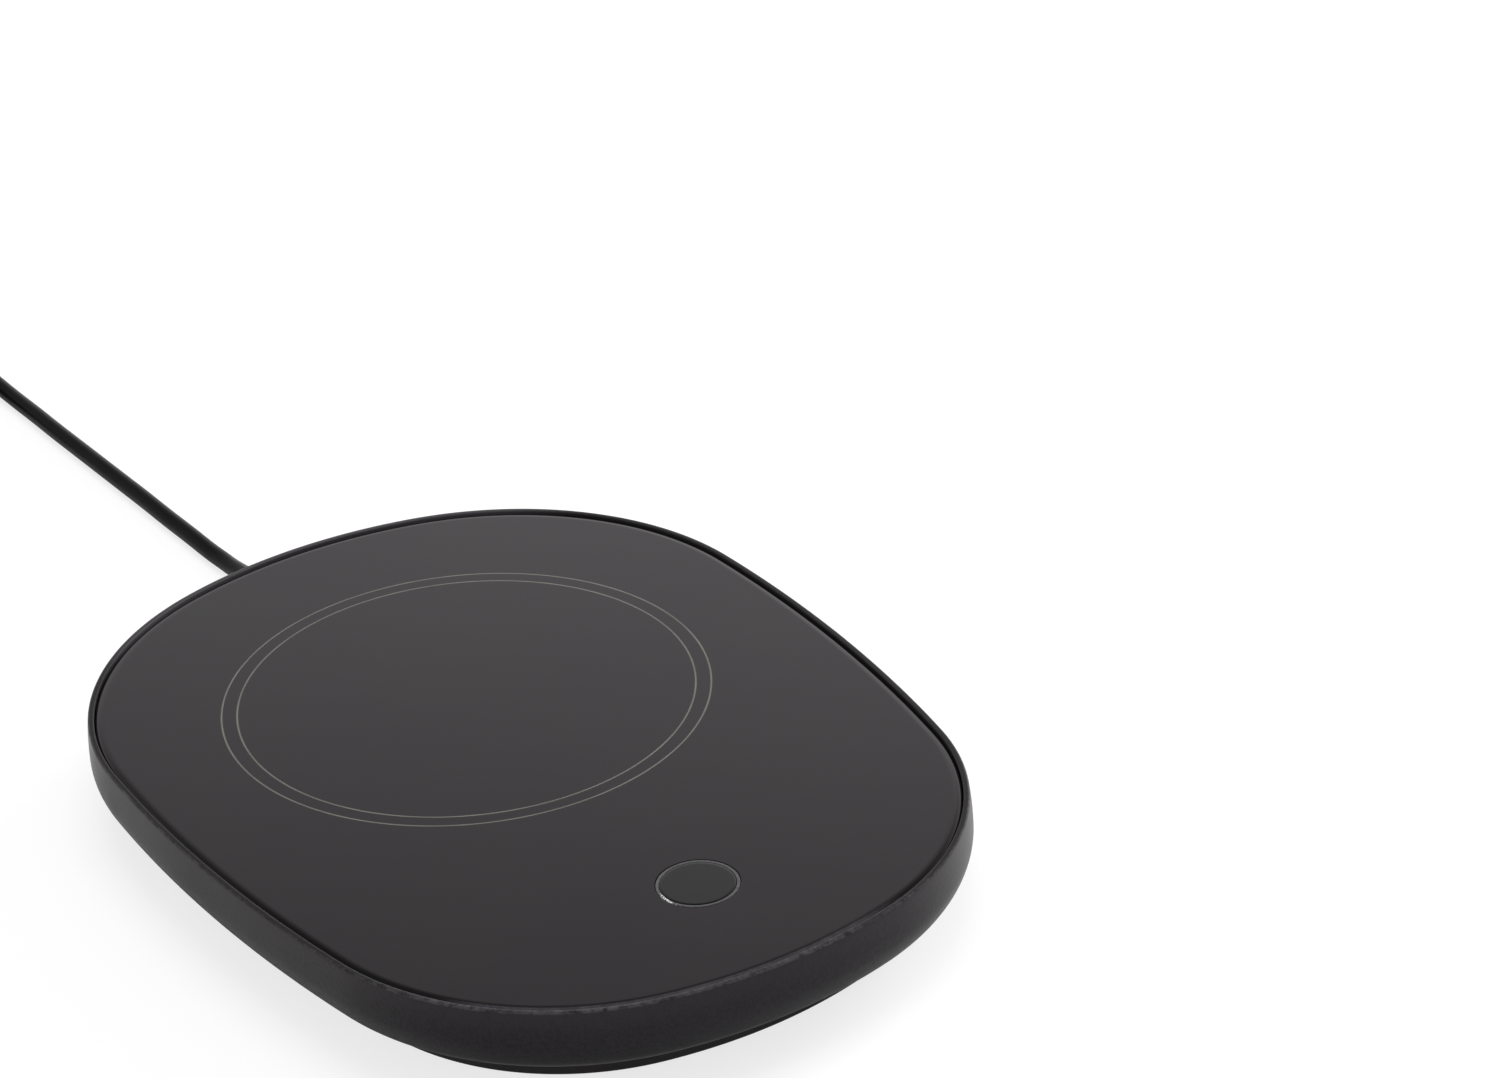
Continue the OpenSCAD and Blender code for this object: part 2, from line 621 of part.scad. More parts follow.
// A closed skin over rings of points, the first ring clockwise as seen from outside
module skin(rings) {
    n = len(rings[0]);
    last = (len(rings) - 1) * n;
    sides = [for (j = [0 : len(rings) - 2], i = [0 : n - 1]) let(m = (i + 1) % n)
        [j * n + i, (j + 1) * n + i, (j + 1) * n + m, j * n + m]];
    ends = [[for (i = [0 : n - 1]) i], [for (i = [n - 1 : -1 : 0]) last + i]];
    polyhedron([for (ring = rings) each ring], concat(sides, ends));
}
module stacked(slices) {
    skin([for (s = slices) [for (p = outline(s[1])) [p[0], p[1], s[0]]]]);
}
module tube(p, radii, sides) {
    skin([for (i = [0 : len(p) - 1]) tube_ring(p, i, radii[i], sides)]);
}
module wire(route, r) {
    p = smooth(route, 4);
    tube(p, [for (q = p) r], 8);
}

// A screw driven upwards: its head below z, its shank up to z + reach
module screw_up(at, z, reach) {
    difference() {
        union() {
            rod(at, z - head_h, z, head_r);
            rod(at, z - eps, z + reach, screw_r);
        }
        translate([at[0], at[1], z - head_h]) {
            cube([drive_w, drive_l, 2 * drive_d], center = true);
            cube([drive_l, drive_w, 2 * drive_d], center = true);
        }
    }
}
module boss(at, z0, z1, depth) {
    difference() {
        rod(at, z0, z1, boss_r);
        rod(at, z0 - eps, z0 + depth + boss_spare, screw_r + screw_gap);
    }
}

module upper_housing() color([0.10, 0.10, 0.105]) {
    notch_r = relief_r + relief_gap;
    past_y = exit_y + 9;
    difference() {
        stacked(wall_slices);
        slab(deck_top_z, body_h + 1) body_shape(rim_t);
        stacked(room_slices);
        slab(seam_z - 1, room_z + 0.5) body_shape(lip_in - lip_gap);
        rod([0, heater_y], deck_z - 1, deck_top_z + 1, opening_r);
        rod([0, button_y], deck_z - 1, deck_top_z + 1, deck_hole_r);
        rod_y([0, flange_front_y], relief_z, past_y, notch_r);
        block(-notch_r, notch_r, flange_front_y, past_y, seam_z - 1, relief_z);
    }
    for (p = screw_places) boss(p, floor_z, deck_z + eps, screw_reach);
    for (p = ear_places) boss(p, pad_z, deck_z + eps, bracket_reach);
    for (p = board_screw_places) boss(p, board_top_z, deck_z + eps, board_reach);
}

module base_cover() color([0.07, 0.07, 0.075]) {
    difference() {
        union() {
            stacked(base_slices);
            slab(seam_z - eps, seam_z + lip_h) body_shape(lip_in);
        }
        slab(floor_z, seam_z + lip_h + 1) body_shape(pocket_in);
        for (p = screw_places) {
            rod(p, foot_show - 1, floor_z + 1, screw_r + hole_gap);
            rod(p, foot_show - 1, head_seat_z, head_r + hole_gap);
        }
        for (p = foot_places) rod(p, foot_show - 1, foot_show + foot_sink, foot_r + foot_gap);
        for (i = [1 : vent_count]) vent((i - (vent_count + 1) / 2) * vent_pitch);
        rod_y([0, flange_back_y - 1], relief_z, exit_y + 9, relief_r + relief_gap);
    }
    block(-cord_r, cord_r, clamp_y - rib_l / 2, clamp_y + rib_l / 2, floor_z - eps, relief_z - cord_r);
    for (p = clamp_screw_places) difference() {
        rod(p, floor_z - eps, clamp_z, boss_r);
        rod(p, clamp_z - clamp_reach - boss_spare, clamp_z + eps, screw_r + screw_gap);
    }
}

// A slot with round ends through the base cover's floor
module vent(x) {
    end = (vent_l - vent_w) / 2;
    block(x - vent_w / 2, x + vent_w / 2, heater_y - end, heater_y + end, foot_show - 1, floor_z + 1);
    for (s = [-1, 1]) rod([x, heater_y + s * end], foot_show - 1, floor_z + 1, vent_w / 2);
}

module glass_top() color([0.03, 0.03, 0.035]) {
    edge = rim_t + glass_gap;
    difference() {
        stacked([[glass_z, edge + glass_bevel], [glass_z - glass_bevel, edge], [glass_under_z, edge]]);
        rod([0, button_y], glass_under_z - 1, glass_z + 1, glass_hole_r);
    }
}

module glass_adhesive() color([0.55, 0.55, 0.55]) {
    edge = rim_t + glass_gap + glue_in;
    slab(deck_top_z, glass_under_z) difference() {
        body_shape(edge);
        body_shape(edge + glue_w);
    }
    bead([0, heater_y], opening_r + glue_in, glue_w);
    bead([0, button_y], deck_hole_r + glue_in, glue_w / 2);
}

module bead(at, r, w) {
    difference() {
        rod(at, deck_top_z, glass_under_z, r + w);
        rod(at, deck_top_z - 1, glass_under_z + 1, r);
    }
}

module heat_plate() color([0.78, 0.79, 0.80]) {
    rod([0, heater_y], glass_under_z - plate_t, glass_under_z, plate_r);
}

module heating_film() color([0.62, 0.55, 0.40]) {
    tab_x = terminal_x + terminal_w;
    rod([0, heater_y], film_z, film_z + film_t, film_r);
    block(-tab_x, tab_x, terminal_front_y - 0.3, heater_y - film_r + 3, film_z, film_z + film_t);
}

// Two halves of rings that turn back at the front and at the back, joined through the innermost ring
module heater_track() color([0.35, 0.33, 0.32]) {
    lead_x = terminal_x - track_half;
    first = asin(track_gap / track_first_r);
    translate([0, heater_y, track_z]) {
        track_arc(track_first_r, first, 360 - 2 * first);
        for (s = [0, 1]) mirror([s, 0, 0]) {
            for (k = [1 : track_turns - 1]) let(r = track_first_r + k * track_pitch,
                    front = asin((k == track_turns - 1 ? lead_x : track_gap) / r), back = asin(track_gap / r))
                track_arc(r, front, 180 - front - back);
            for (k = [0 : track_turns - 2])
                track_turn(track_first_r + k * track_pitch, (track_turns - 2 - k) % 2 == 0 ? 1 : -1);
            translate([lead_x, -pad_r - terminal_l, 0])
                cube([track_w, pad_r + terminal_l - track_last_r + 1, track_t]);
        }
    }
}

// A stretch of a ring, from an angle past the front
module track_arc(r, from, angle) {
    rotate([0, 0, from - 90]) rotate_extrude(angle = angle)
        translate([r - track_half, 0]) square([track_w, track_t]);
}

// A short bar from the ring of radius r to the next one, at the back (side = 1) or at the front (side = -1)
module track_turn(r, side) {
    rotate([0, 0, side * (90 - asin((track_gap + track_half) / r))])
        translate([r, -track_half, 0]) cube([track_pitch, track_w, track_t]);
}

module insulation_pad() color([0.88, 0.87, 0.83]) {
    difference() {
        rod([0, heater_y], pad_z, track_z, pad_r);
        rod([0, heater_y], pad_z - 1, track_z + 1, probe_r + probe_gap);
    }
}

module heater_bracket() color([0.70, 0.71, 0.72]) {
    difference() {
        union() {
            rod([0, heater_y], bracket_z, pad_z, bracket_r);
            for (a = ear_angles) translate([0, heater_y, bracket_z]) rotate([0, 0, a])
                translate([0, -ear_w / 2, 0]) cube([bracket_screw_r, ear_w, bracket_t]);
            for (p = ear_places) rod(p, bracket_z, pad_z, ear_r);
        }
        for (p = ear_places) rod(p, bracket_z - 1, pad_z + 1, screw_r + hole_gap);
        rod([0, heater_y], bracket_z - 1, pad_z + 1, probe_r + probe_gap);
    }
}

module bracket_screws() color([0.75, 0.75, 0.77]) {
    for (p = ear_places) screw_up(p, bracket_z, bracket_t + bracket_reach);
}

module thermal_fuse() color([0.80, 0.80, 0.76]) {
    along_x([0, fuse_y, fuse_z], fuse_r, fuse_l);
    along_x([0, fuse_y, fuse_z], thin_wire_r, 2 * fuse_end);
}

// A strap around the fuse with two feet on the bracket
module fuse_clip() color([0.72, 0.73, 0.75]) {
    inner = fuse_r + touch_gap;
    foot_y = inner + clip_foot;
    difference() {
        union() {
            along_x([0, fuse_y, fuse_z], inner + clip_t, clip_w);
            block(-clip_w / 2, clip_w / 2, fuse_y - foot_y, fuse_y + foot_y, bracket_z - clip_t, bracket_z);
        }
        along_x([0, fuse_y, fuse_z], inner, 2 * clip_w);
        block(-clip_w, clip_w, fuse_y - inner, fuse_y + inner, fuse_z, bracket_z + 1);
        block(-clip_w, clip_w, fuse_y - foot_y - 1, fuse_y + foot_y + 1, bracket_z, bracket_z + 2);
    }
}

module temperature_sensor() color([0.80, 0.70, 0.42]) {
    flange_z = bracket_z - probe_flange_t;
    rod([0, heater_y], flange_z, film_z, probe_r);
    rod([0, heater_y], flange_z, bracket_z, probe_flange_r);
    translate([-probe_exit_w / 2, probe_exit_y, flange_z]) cube([probe_exit_w, probe_exit_l, probe_flange_t]);
}

module heater_terminals() color([0.82, 0.80, 0.74]) {
    for (s = [-1, 1]) translate([s * terminal_x, terminal_y, terminal_mid_z])
        cube([terminal_w, terminal_l, terminal_h - 2 * track_t], center = true);
}

module heater_wires() color([0.85, 0.85, 0.83]) {
    wire(heater_route, wire_r);
    wire(fuse_route, wire_r);
    wire(return_route, wire_r);
}

module sensor_wires() color([0.75, 0.12, 0.10]) {
    for (s = [-1, 1]) wire(probe_route(s * thin_pitch / 2), thin_wire_r);
}

module control_board() color([0.05, 0.30, 0.14]) {
    corner = 3;
    x1 = board_w / 2;
    y0 = board_front_y;
    y1 = board_back_y;
    difference() {
        union() {
            block(corner - x1, x1 - corner, y0, y1, board_z, board_top_z);
            block(-x1, x1, y0 + corner, y1 - corner, board_z, board_top_z);
            for (s = [-1, 1], y = [y0 + corner, y1 - corner])
                rod([s * (x1 - corner), y], board_z, board_top_z, corner);
        }
        for (p = board_screw_places) rod(p, board_z - 1, board_top_z + 1, screw_r + hole_gap);
    }
}

module board_screws() color([0.75, 0.75, 0.77]) {
    for (p = board_screw_places) screw_up(p, board_z, board_t + board_reach);
}

// A box that stands on the board, its middle at a place counted from the button
module on_board(at, size) {
    translate([at[0] - size[0] / 2, button_y + at[1] - size[1] / 2, board_top_z]) cube(size);
}

module filter_capacitor() color([0.86, 0.70, 0.20]) {
    on_board(filter_at, filter_size);
}

module smoothing_capacitor() color([0.10, 0.13, 0.24]) {
    vent_r = 1;
    translate([can_at[0], button_y + can_at[1], board_top_z + can_r]) rotate([0, 90, 0]) {
        cylinder(r = can_r, h = can_l, center = true);
        cylinder(r = vent_r, h = can_l / 2 + 0.8);
    }
}

module bridge_rectifier() color([0.09, 0.09, 0.10]) {
    leg = [bridge_size[0] - 1, 1, 0.5];
    on_board(bridge_at, bridge_size);
    for (s = [-1, 1]) on_board(bridge_at + [0, s * (bridge_size[1] / 2 + 0.4)], leg);
}

module triac() color([0.09, 0.09, 0.10]) {
    on_board(triac_at, triac_size);
    difference() {
        on_board(tab_at, tab_size);
        rod([tab_at[0], button_y + tab_at[1]], board_top_z - 1, board_top_z + tab_size[2] + 1, tab_hole_r);
    }
}

module board_fuse() color([0.90, 0.88, 0.82]) {
    cap_l = 1.8;
    mid = [board_fuse_at[0], button_y + board_fuse_at[1], board_top_z + board_fuse_r];
    along_x(mid, board_fuse_r - 0.15, board_fuse_l);
    for (s = [-1, 1]) along_x(mid + [s * (board_fuse_l - cap_l) / 2, 0, 0], board_fuse_r, cap_l);
}

module controller_chip() color([0.08, 0.08, 0.09]) {
    leg = [0.8, 0.4, 0.4];
    leg_pitch = 1.27;
    on_board(chip_at, chip_size);
    for (s = [-1, 1], k = [-1.5 : 1 : 1.5])
        on_board(chip_at + [s * (chip_size[0] + leg[0] - 0.1) / 2, k * leg_pitch], leg);
}

module connector(at, size, pitch, r) {
    difference() {
        on_board(at, size);
        for (s = [-1, 1]) let(p = way(at, size, s * pitch / 2))
            rod_y([p[0], p[1] - way_depth - way_gap], p[2], p[1] + 1, r + way_gap);
    }
}

module mains_connector() color([0.92, 0.92, 0.90]) {
    connector(mains_at, connector_size, way_pitch, wire_r);
}

module heater_connector() color([0.92, 0.92, 0.90]) {
    connector(heater_at, connector_size, way_pitch, wire_r);
}

module sensor_connector() color([0.92, 0.92, 0.90]) {
    connector(sensor_at, sensor_plug_size, thin_pitch, thin_wire_r);
}

module indicator_leds() color([0.92, 0.93, 0.95]) {
    led_x = (ring_flange_r + collar_r) / 2;
    for (s = [-1, 1]) on_board([s * led_x, 0], led_size);
}

module switch_body() color([0.12, 0.12, 0.13]) {
    bore_z = switch_top_z - plunger_in - button_travel - touch_gap;
    difference() {
        on_board([0, 0], [switch_w, switch_w, switch_h]);
        rod([0, button_y], bore_z, switch_top_z + 1, plunger_r + plunger_gap);
    }
}

module switch_plunger() color([0.85, 0.30, 0.15]) {
    rod([0, button_y], switch_top_z - plunger_in, plunger_top_z, plunger_r);
}

module power_button() color([0.04, 0.04, 0.045]) {
    difference() {
        rod([0, button_y], retain_z, glass_z, button_r);
        difference() {
            rod([0, button_y], retain_z - 1, glass_z - button_top_t, button_r - button_wall);
            rod([0, button_y], retain_z, glass_z, stem_r);
        }
    }
    difference() {
        rod([0, button_y], retain_z, retain_z + retain_t, button_r + retain_w);
        rod([0, button_y], retain_z - 1, retain_z + retain_t + 1, button_r - button_wall / 2);
    }
}

module button_light_ring() color([0.80, 0.84, 0.88]) {
    difference() {
        union() {
            rod([0, button_y], ring_z, glass_z, ring_out_r);
            rod([0, button_y], ring_z, deck_top_z, collar_r);
            rod([0, button_y], ring_z, deck_z, ring_flange_r);
        }
        rod([0, button_y], ring_z - 1, glass_z + 1, ring_in_r);
    }
}

module foot(at) color([0.06, 0.06, 0.06]) {
    rod(at, 0, foot_edge + eps, foot_r - foot_edge);
    rod(at, foot_edge, foot_show + foot_sink, foot_r);
}

module foot_front_left() {
    foot([-front_foot[0], front_foot[1]]);
}

module foot_front_right() {
    foot(front_foot);
}

module foot_back_left() {
    foot([-back_foot[0], back_foot[1]]);
}

module foot_back_right() {
    foot(back_foot);
}

module housing_screws() color([0.75, 0.75, 0.77]) {
    for (p = screw_places) screw_up(p, head_seat_z, floor_z - head_seat_z + screw_reach);
}

module strain_relief() color([0.06, 0.06, 0.065]) {
    last = len(relief_route) - 1;
    radii = [for (i = [0 : last]) relief_r + (relief_tip_r - relief_r) * i / last];
    rod_y([0, flange_front_y], relief_z, flange_back_y, relief_flange_r);
    rod_y([0, flange_front_y], relief_z, exit_y + eps, relief_r);
    from_exit() tube(relief_route, radii, 24);
}

module inner_lead() color([0.07, 0.07, 0.07]) {
    rod_y([0, lead_end_y], relief_z, flange_front_y, cord_r);
}

module cord_clamp() color([0.80, 0.80, 0.78]) {
    difference() {
        translate([-clamp_l / 2, clamp_y - clamp_w / 2, clamp_z]) cube([clamp_l, clamp_w, clamp_t]);
        for (p = clamp_screw_places) rod(p, clamp_z - 1, clamp_z + clamp_t + 1, screw_r + hole_gap);
    }
}

module clamp_screws() color([0.75, 0.75, 0.77]) {
    for (p = clamp_screw_places) translate([p[0], p[1], clamp_z + clamp_t]) rotate([180, 0, 0])
        screw_up([0, 0], 0, clamp_t + clamp_reach);
}

module live_wire() color([0.45, 0.25, 0.10]) {
    wire(live_route, wire_r);
}

module neutral_wire() color([0.15, 0.30, 0.65]) {
    wire(neutral_route, wire_r);
}

module power_cord() color([0.06, 0.06, 0.065]) {
    from_exit() tube(cord_route, [for (p = cord_route) cord_r], 8);
}

module cord_coil() color([0.06, 0.06, 0.065]) {
    wide = coil_out_r - coil_in_r;
    from_exit() translate([coil_at[0], coil_at[1], tie_t]) rotate_extrude($fn = 96) {
        translate([coil_in_r, coil_round]) square([wide, coil_h - 2 * coil_round]);
        translate([coil_in_r + coil_round, 0]) square([wide - 2 * coil_round, coil_h]);
        for (x = [coil_in_r + coil_round, coil_out_r - coil_round], z = [coil_round, coil_h - coil_round])
            translate([x, z]) circle(coil_round, $fn = 32);
    }
}

// A flat strap around the coil, on the side away from the body
module coil_tie() color([0.10, 0.10, 0.11]) {
    near = sqrt(pow(coil_in_r - tie_gap, 2) - pow(tie_w / 2, 2));
    far = coil_out_r + tie_gap;
    high = tie_t + coil_h + tie_gap;
    from_exit() translate([coil_at[0], coil_at[1], 0]) difference() {
        block(-tie_w / 2, tie_w / 2, near - tie_t, far + tie_t, 0, high + tie_t);
        block(-tie_w, tie_w, near, far, tie_t, high);
    }
}

module cord_tail() color([0.06, 0.06, 0.065]) {
    from_exit() tube(tail_route, [for (p = tail_route) cord_r], 8);
}

module plug_body() color([0.07, 0.07, 0.075]) {
    from_exit() translate([plug_at[0], plug_at[1], plug_mid_z]) difference() {
        union() {
            translate([0, -boot_l, 0]) rotate([90, 0, 0]) linear_extrude(plug_l) {
                square([plug_w, plug_t - 2 * plug_round], center = true);
                square([plug_w - 2 * plug_round, plug_t], center = true);
                for (x = [-1, 1] * (plug_w / 2 - plug_round), z = [-1, 1] * (plug_t / 2 - plug_round))
                    translate([x, z]) circle(plug_round);
            }
            rotate([90, 0, 0]) cylinder(r1 = boot_tip_r, r2 = boot_r, h = boot_l + eps);
        }
        blades(2 * blade_gap, 1);
    }
}

// The two blades, from the bottom of their sockets to their tips, grown by a clearance
module blades(grow, past) {
    y1 = blade_in - boot_l - plug_l;
    y0 = -boot_l - plug_l - (past > 0 ? past : blade_l);
    for (s = [-1, 1]) translate([s * blade_pitch / 2, (y0 + y1) / 2, 0])
        cube([blade_t + grow, y1 - y0, blade_w + grow], center = true);
}

module plug_blades() color([0.80, 0.78, 0.70]) {
    hole_y = blade_hole_in - boot_l - plug_l - blade_l;
    from_exit() translate([plug_at[0], plug_at[1], plug_mid_z]) difference() {
        blades(0, 0);
        translate([0, hole_y, 0]) rotate([0, 90, 0]) cylinder(r = blade_hole_r, h = plug_w, center = true);
    }
}

upper_housing();
base_cover();
glass_top();
glass_adhesive();
heat_plate();
heating_film();
heater_track();
insulation_pad();
heater_bracket();
bracket_screws();
thermal_fuse();
fuse_clip();
temperature_sensor();
heater_terminals();
heater_wires();
sensor_wires();
control_board();
board_screws();
filter_capacitor();
smoothing_capacitor();
bridge_rectifier();
triac();
board_fuse();
controller_chip();
mains_connector();
heater_connector();
sensor_connector();
indicator_leds();
switch_body();
switch_plunger();
power_button();
button_light_ring();
foot_front_left();
foot_front_right();
foot_back_left();
foot_back_right();
housing_screws();
strain_relief();
inner_lead();
cord_clamp();
clamp_screws();
live_wire();
neutral_wire();
power_cord();
cord_coil();
coil_tie();
cord_tail();
plug_body();
plug_blades();
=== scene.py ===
"""Looks of the electric mug warmer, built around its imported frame.

The values below are millimetres in the part's own frame: +Z up, -Y the front with the button, +Y the
back with the lead. MM turns them into the scene's metres.
"""

import json
import math

import bmesh
import bpy
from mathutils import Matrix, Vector

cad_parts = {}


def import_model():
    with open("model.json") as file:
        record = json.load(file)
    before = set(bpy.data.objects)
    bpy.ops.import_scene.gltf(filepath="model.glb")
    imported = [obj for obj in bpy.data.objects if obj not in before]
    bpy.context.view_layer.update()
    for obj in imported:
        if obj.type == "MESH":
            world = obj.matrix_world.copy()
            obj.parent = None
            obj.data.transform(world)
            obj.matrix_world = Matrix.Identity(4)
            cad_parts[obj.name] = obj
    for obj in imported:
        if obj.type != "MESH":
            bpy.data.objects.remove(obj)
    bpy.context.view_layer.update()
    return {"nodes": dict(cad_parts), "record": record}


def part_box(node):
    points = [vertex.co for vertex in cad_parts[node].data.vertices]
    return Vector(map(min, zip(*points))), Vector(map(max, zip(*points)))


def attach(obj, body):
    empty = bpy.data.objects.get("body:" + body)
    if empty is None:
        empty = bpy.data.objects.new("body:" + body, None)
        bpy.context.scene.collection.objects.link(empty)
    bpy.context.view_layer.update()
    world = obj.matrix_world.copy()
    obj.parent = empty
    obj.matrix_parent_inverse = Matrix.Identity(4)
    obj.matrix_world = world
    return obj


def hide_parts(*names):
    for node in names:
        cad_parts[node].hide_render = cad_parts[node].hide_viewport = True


MM = 0.001

# The camera, where the photograph was taken from
CAMERA_AT = (-280.5, -538.7, 383.3)
CAMERA_TURN = (61.21, 3.10, -32.84)
LENS = 106.0
SENSOR = 36.0

# Outline at the rim: half sizes, the radii of its arcs and the place of its widest line
HALF_W = 59.05
HALF_L = 79.25
BACK_R = 76.0
BACK_CORNER_R = 51.4
SIDE_R = 287.0
FRONT_CORNER_R = 47.4
FRONT_R = 81.0
WIDEST_Y = 10.95

# Wall, rim, deck and base cover
BULGE = 0.4
TUCK = 6.8
BULGE_Z = 11.5
SEAM_Z = 5.0
RIM_Z = 17.3
RIM_W = 1.0
RIM_EDGE = 0.35
DECK_Z = 12.0
DECK_TOP_Z = 13.6
ROOM_IN = 1.8
ROOM_Z = 7.0
LIP_RECESS_IN = 8.6
BASE_IN = 6.8
BASE_TAPER = 1.4
BASE_Z = 0.8
FLOOR_Z = 2.6
LIP_IN = 8.8
LIP_Z = 6.8
POCKET_IN = 10.0

# Glass, heated seat and button
GLASS_IN = 1.2
GLASS_Z = 17.0
GLASS_UNDER_Z = 14.0
GLASS_EDGE = 1.5
GLASS_EDGE_DROP = 0.38
HEATER_Y = 17.85
OPENING_R = 42.0
RING_RADII = (40.0, 37.46)
RING_LINE = 0.30
GLASS_SHINE = 0.32
BUTTON_Y = -52.95
GLASS_HOLE_R = 6.55
DECK_HOLE_R = 7.75

# Screws and their bosses
BOSS_R = 2.75
BOSS_BORE_R = 1.15
HEAD_HOLE_R = 2.5
SCREW_HOLE_R = 1.4
WELL_Z = 2.0
FOOT_R = 5.5

# Bosses under the deck, by the screws they take: where each starts, and how deep it is bored
BOSSES = {"housing_screws": (FLOOR_Z, 6.6), "bracket_screws": (9.0, 2.8), "board_screws": (5.8, 3.0)}

# Vents in the base cover
VENTS = 7
VENT_PITCH = 6.0
VENT_W = 2.0
VENT_L = 26.0

# The lead: where it leaves the body, its radius and its route, with Y counted from the exit
EXIT_Y = 80.0
CORD_R = 1.6
RELIEF_Z = 7.2
RELIEF_R = 3.0
RELIEF_TIP_R = 2.0
RELIEF_FLANGE_R = 4.3
RELIEF_GAP = 0.05
RIBS_END = 0.88
RELIEF_FLANGE_Y = (67.75, 69.25)
RELIEF_ROUTE = [(0, 0, 7.2), (0, 4, 6.9), (0, 8, 6.1), (0, 12, 5.0), (0, 15.5, 4.0), (0, 18, 3.4)]
CORD_ROUTE = [
    (0, 18, 3.4), (0, 20.5, 2.8), (0, 23, 2.35), (0, 26, 1.95), (0, 29.5, 1.7), (-0.2, 34, 1.6),
    (-0.4, 42, 1.6), (-0.7, 51, 1.6), (-0.9, 60, 1.6), (-1.2, 69, 1.6), (-1.5, 78, 1.6),
    (-1.8, 87, 1.6), (-2.1, 96, 1.6), (-2.3, 105, 1.6), (-2.6, 114, 1.6), (-2.9, 123, 1.8),
    (-3.2, 131.5, 2.0),
]
TAIL_ROUTE = [
    (-56.2, 134, 5.1), (-56, 128, 4.8), (-55.5, 122, 4.8), (-54.8, 117, 5.2), (-54.1, 113, 5.7),
    (-53.6, 110, 6.1), (-53.4, 107.5, 6.3), (-53.4, 105, 6.3), (-53.4, 102, 6.3),
]

# The coil: its centre, its two layers and how its turns close up
COIL_AT = (-30.6, 140.0)
COIL_R = 27.2
COIL_PITCH = 3.2
COIL_IN_R = 12.8
COIL_LOW_Z = 2.0
COIL_HIGH_Z = 5.2
COIL_RISE = (4.4, 4.75)
COIL_TURNS = 8.5
COIL_STEPS = 16

# The plug and its blades
PLUG_AT = (-53.4, 105.0, 6.3)
PLUG_W = 21.0
PLUG_T = 12.6
PLUG_L = 23.0
BOOT_L = 12.0
BOOT_R = 3.4
BOOT_TIP_R = 2.1
BLADE_PITCH = 12.7
BLADE_W = 6.35
BLADE_T = 1.5
BLADE_OUT = 16.5
BLADE_IN = 5.0
BLADE_HOLE_R = 1.6
BLADE_HOLE_IN = 4.3

# The floor, in metres: its half size, and how far it lies under the feet. Then how white the camera
# sees it near the object, and its colour for bounced light and as seen
FLOOR_HALF = 3.0
FLOOR_BELOW = 0.00005
FLOOR_WHITENESS = 0.76
FLOOR_DIM = (0.42, 0.42, 0.42)
FLOOR_PALE = (0.92, 0.92, 0.92)

# Mesh fineness
ARC_POINTS = (18, 56, 44, 52, 16)
CIRCLE_POINTS = 96
SHARP_ANGLE = math.radians(32)


# --- outline ---


def meet(c1, r1, c2, r2, back):
    """Where two circles cross: the crossing nearer the back, or nearer the front."""
    (x1, y1), (x2, y2) = c1, c2
    d = math.hypot(x2 - x1, y2 - y1)
    a = (r1 * r1 - r2 * r2 + d * d) / (2 * d)
    h = math.sqrt(r1 * r1 - a * a)
    ux, uy = (x2 - x1) / d, (y2 - y1) / d
    p = (x1 + a * ux - h * uy, y1 + a * uy + h * ux)
    q = (x1 + a * ux + h * uy, y1 + a * uy - h * ux)
    return max(p, q, key=lambda v: v[1] if back else -v[1])


def heading(a, b):
    """Angle of the line from a to b."""
    return math.atan2(b[1] - a[1], b[0] - a[0])


SIDE_C = (HALF_W - SIDE_R, WIDEST_Y)
BACK_C = (0.0, HALF_L - BACK_R)
FRONT_C = (0.0, FRONT_R - HALF_L)
BACK_CORNER_C = meet(SIDE_C, SIDE_R - BACK_CORNER_R, BACK_C, BACK_R - BACK_CORNER_R, True)
FRONT_CORNER_C = meet(SIDE_C, SIDE_R - FRONT_CORNER_R, FRONT_C, FRONT_R - FRONT_CORNER_R, False)


def outline(inset):
    """The body's outline moved inwards, clockwise from the middle of the back."""
    turns = [
        math.pi / 2,
        heading(BACK_C, BACK_CORNER_C),
        heading(SIDE_C, BACK_CORNER_C),
        heading(SIDE_C, FRONT_CORNER_C),
        heading(FRONT_C, FRONT_CORNER_C),
        -math.pi / 2,
    ]
    arcs = [(BACK_C, BACK_R), (BACK_CORNER_C, BACK_CORNER_R), (SIDE_C, SIDE_R),
            (FRONT_CORNER_C, FRONT_CORNER_R), (FRONT_C, FRONT_R)]
    half = []
    for (centre, radius), start, end, count in zip(arcs, turns, turns[1:], ARC_POINTS):
        for i in range(count):
            a = start + (end - start) * i / count
            r = radius - inset
            half.append((centre[0] + r * math.cos(a), centre[1] + r * math.sin(a)))
    front = (0.0, FRONT_C[1] - (FRONT_R - inset))
    return half + [front] + [(-x, y) for x, y in half[:0:-1]]


def circle(at, r, count=CIRCLE_POINTS):
    """A circle around a place, clockwise as the outline is."""
    turn = 2 * math.pi / count
    return [(at[0] + r * math.sin(i * turn), at[1] + r * math.cos(i * turn)) for i in range(count)]


def slot_outline(x, y, width, length, steps=8):
    """A slot along Y with round ends."""
    r = width / 2
    end = length / 2 - r
    points = []
    for side in (1, -1):
        for i in range(steps + 1):
            a = math.pi * i / steps
            points.append((x - side * r * math.cos(a), y + side * (end + r * math.sin(a))))
    return points


# --- meshes ---


def round_rectangle(middle, half_u, half_v, r, steps=8):
    """A rectangle with rounded corners, from its right side around."""
    points = []
    for su, sv, start in ((1, 1, 0), (-1, 1, 90), (-1, -1, 180), (1, -1, 270)):
        for i in range(steps + 1):
            a = math.radians(start + 90 * i / steps)
            u = middle[0] + su * (half_u - r) + r * math.cos(a)
            v = middle[1] + sv * (half_v - r) + r * math.sin(a)
            points.append((u, v))
    return points


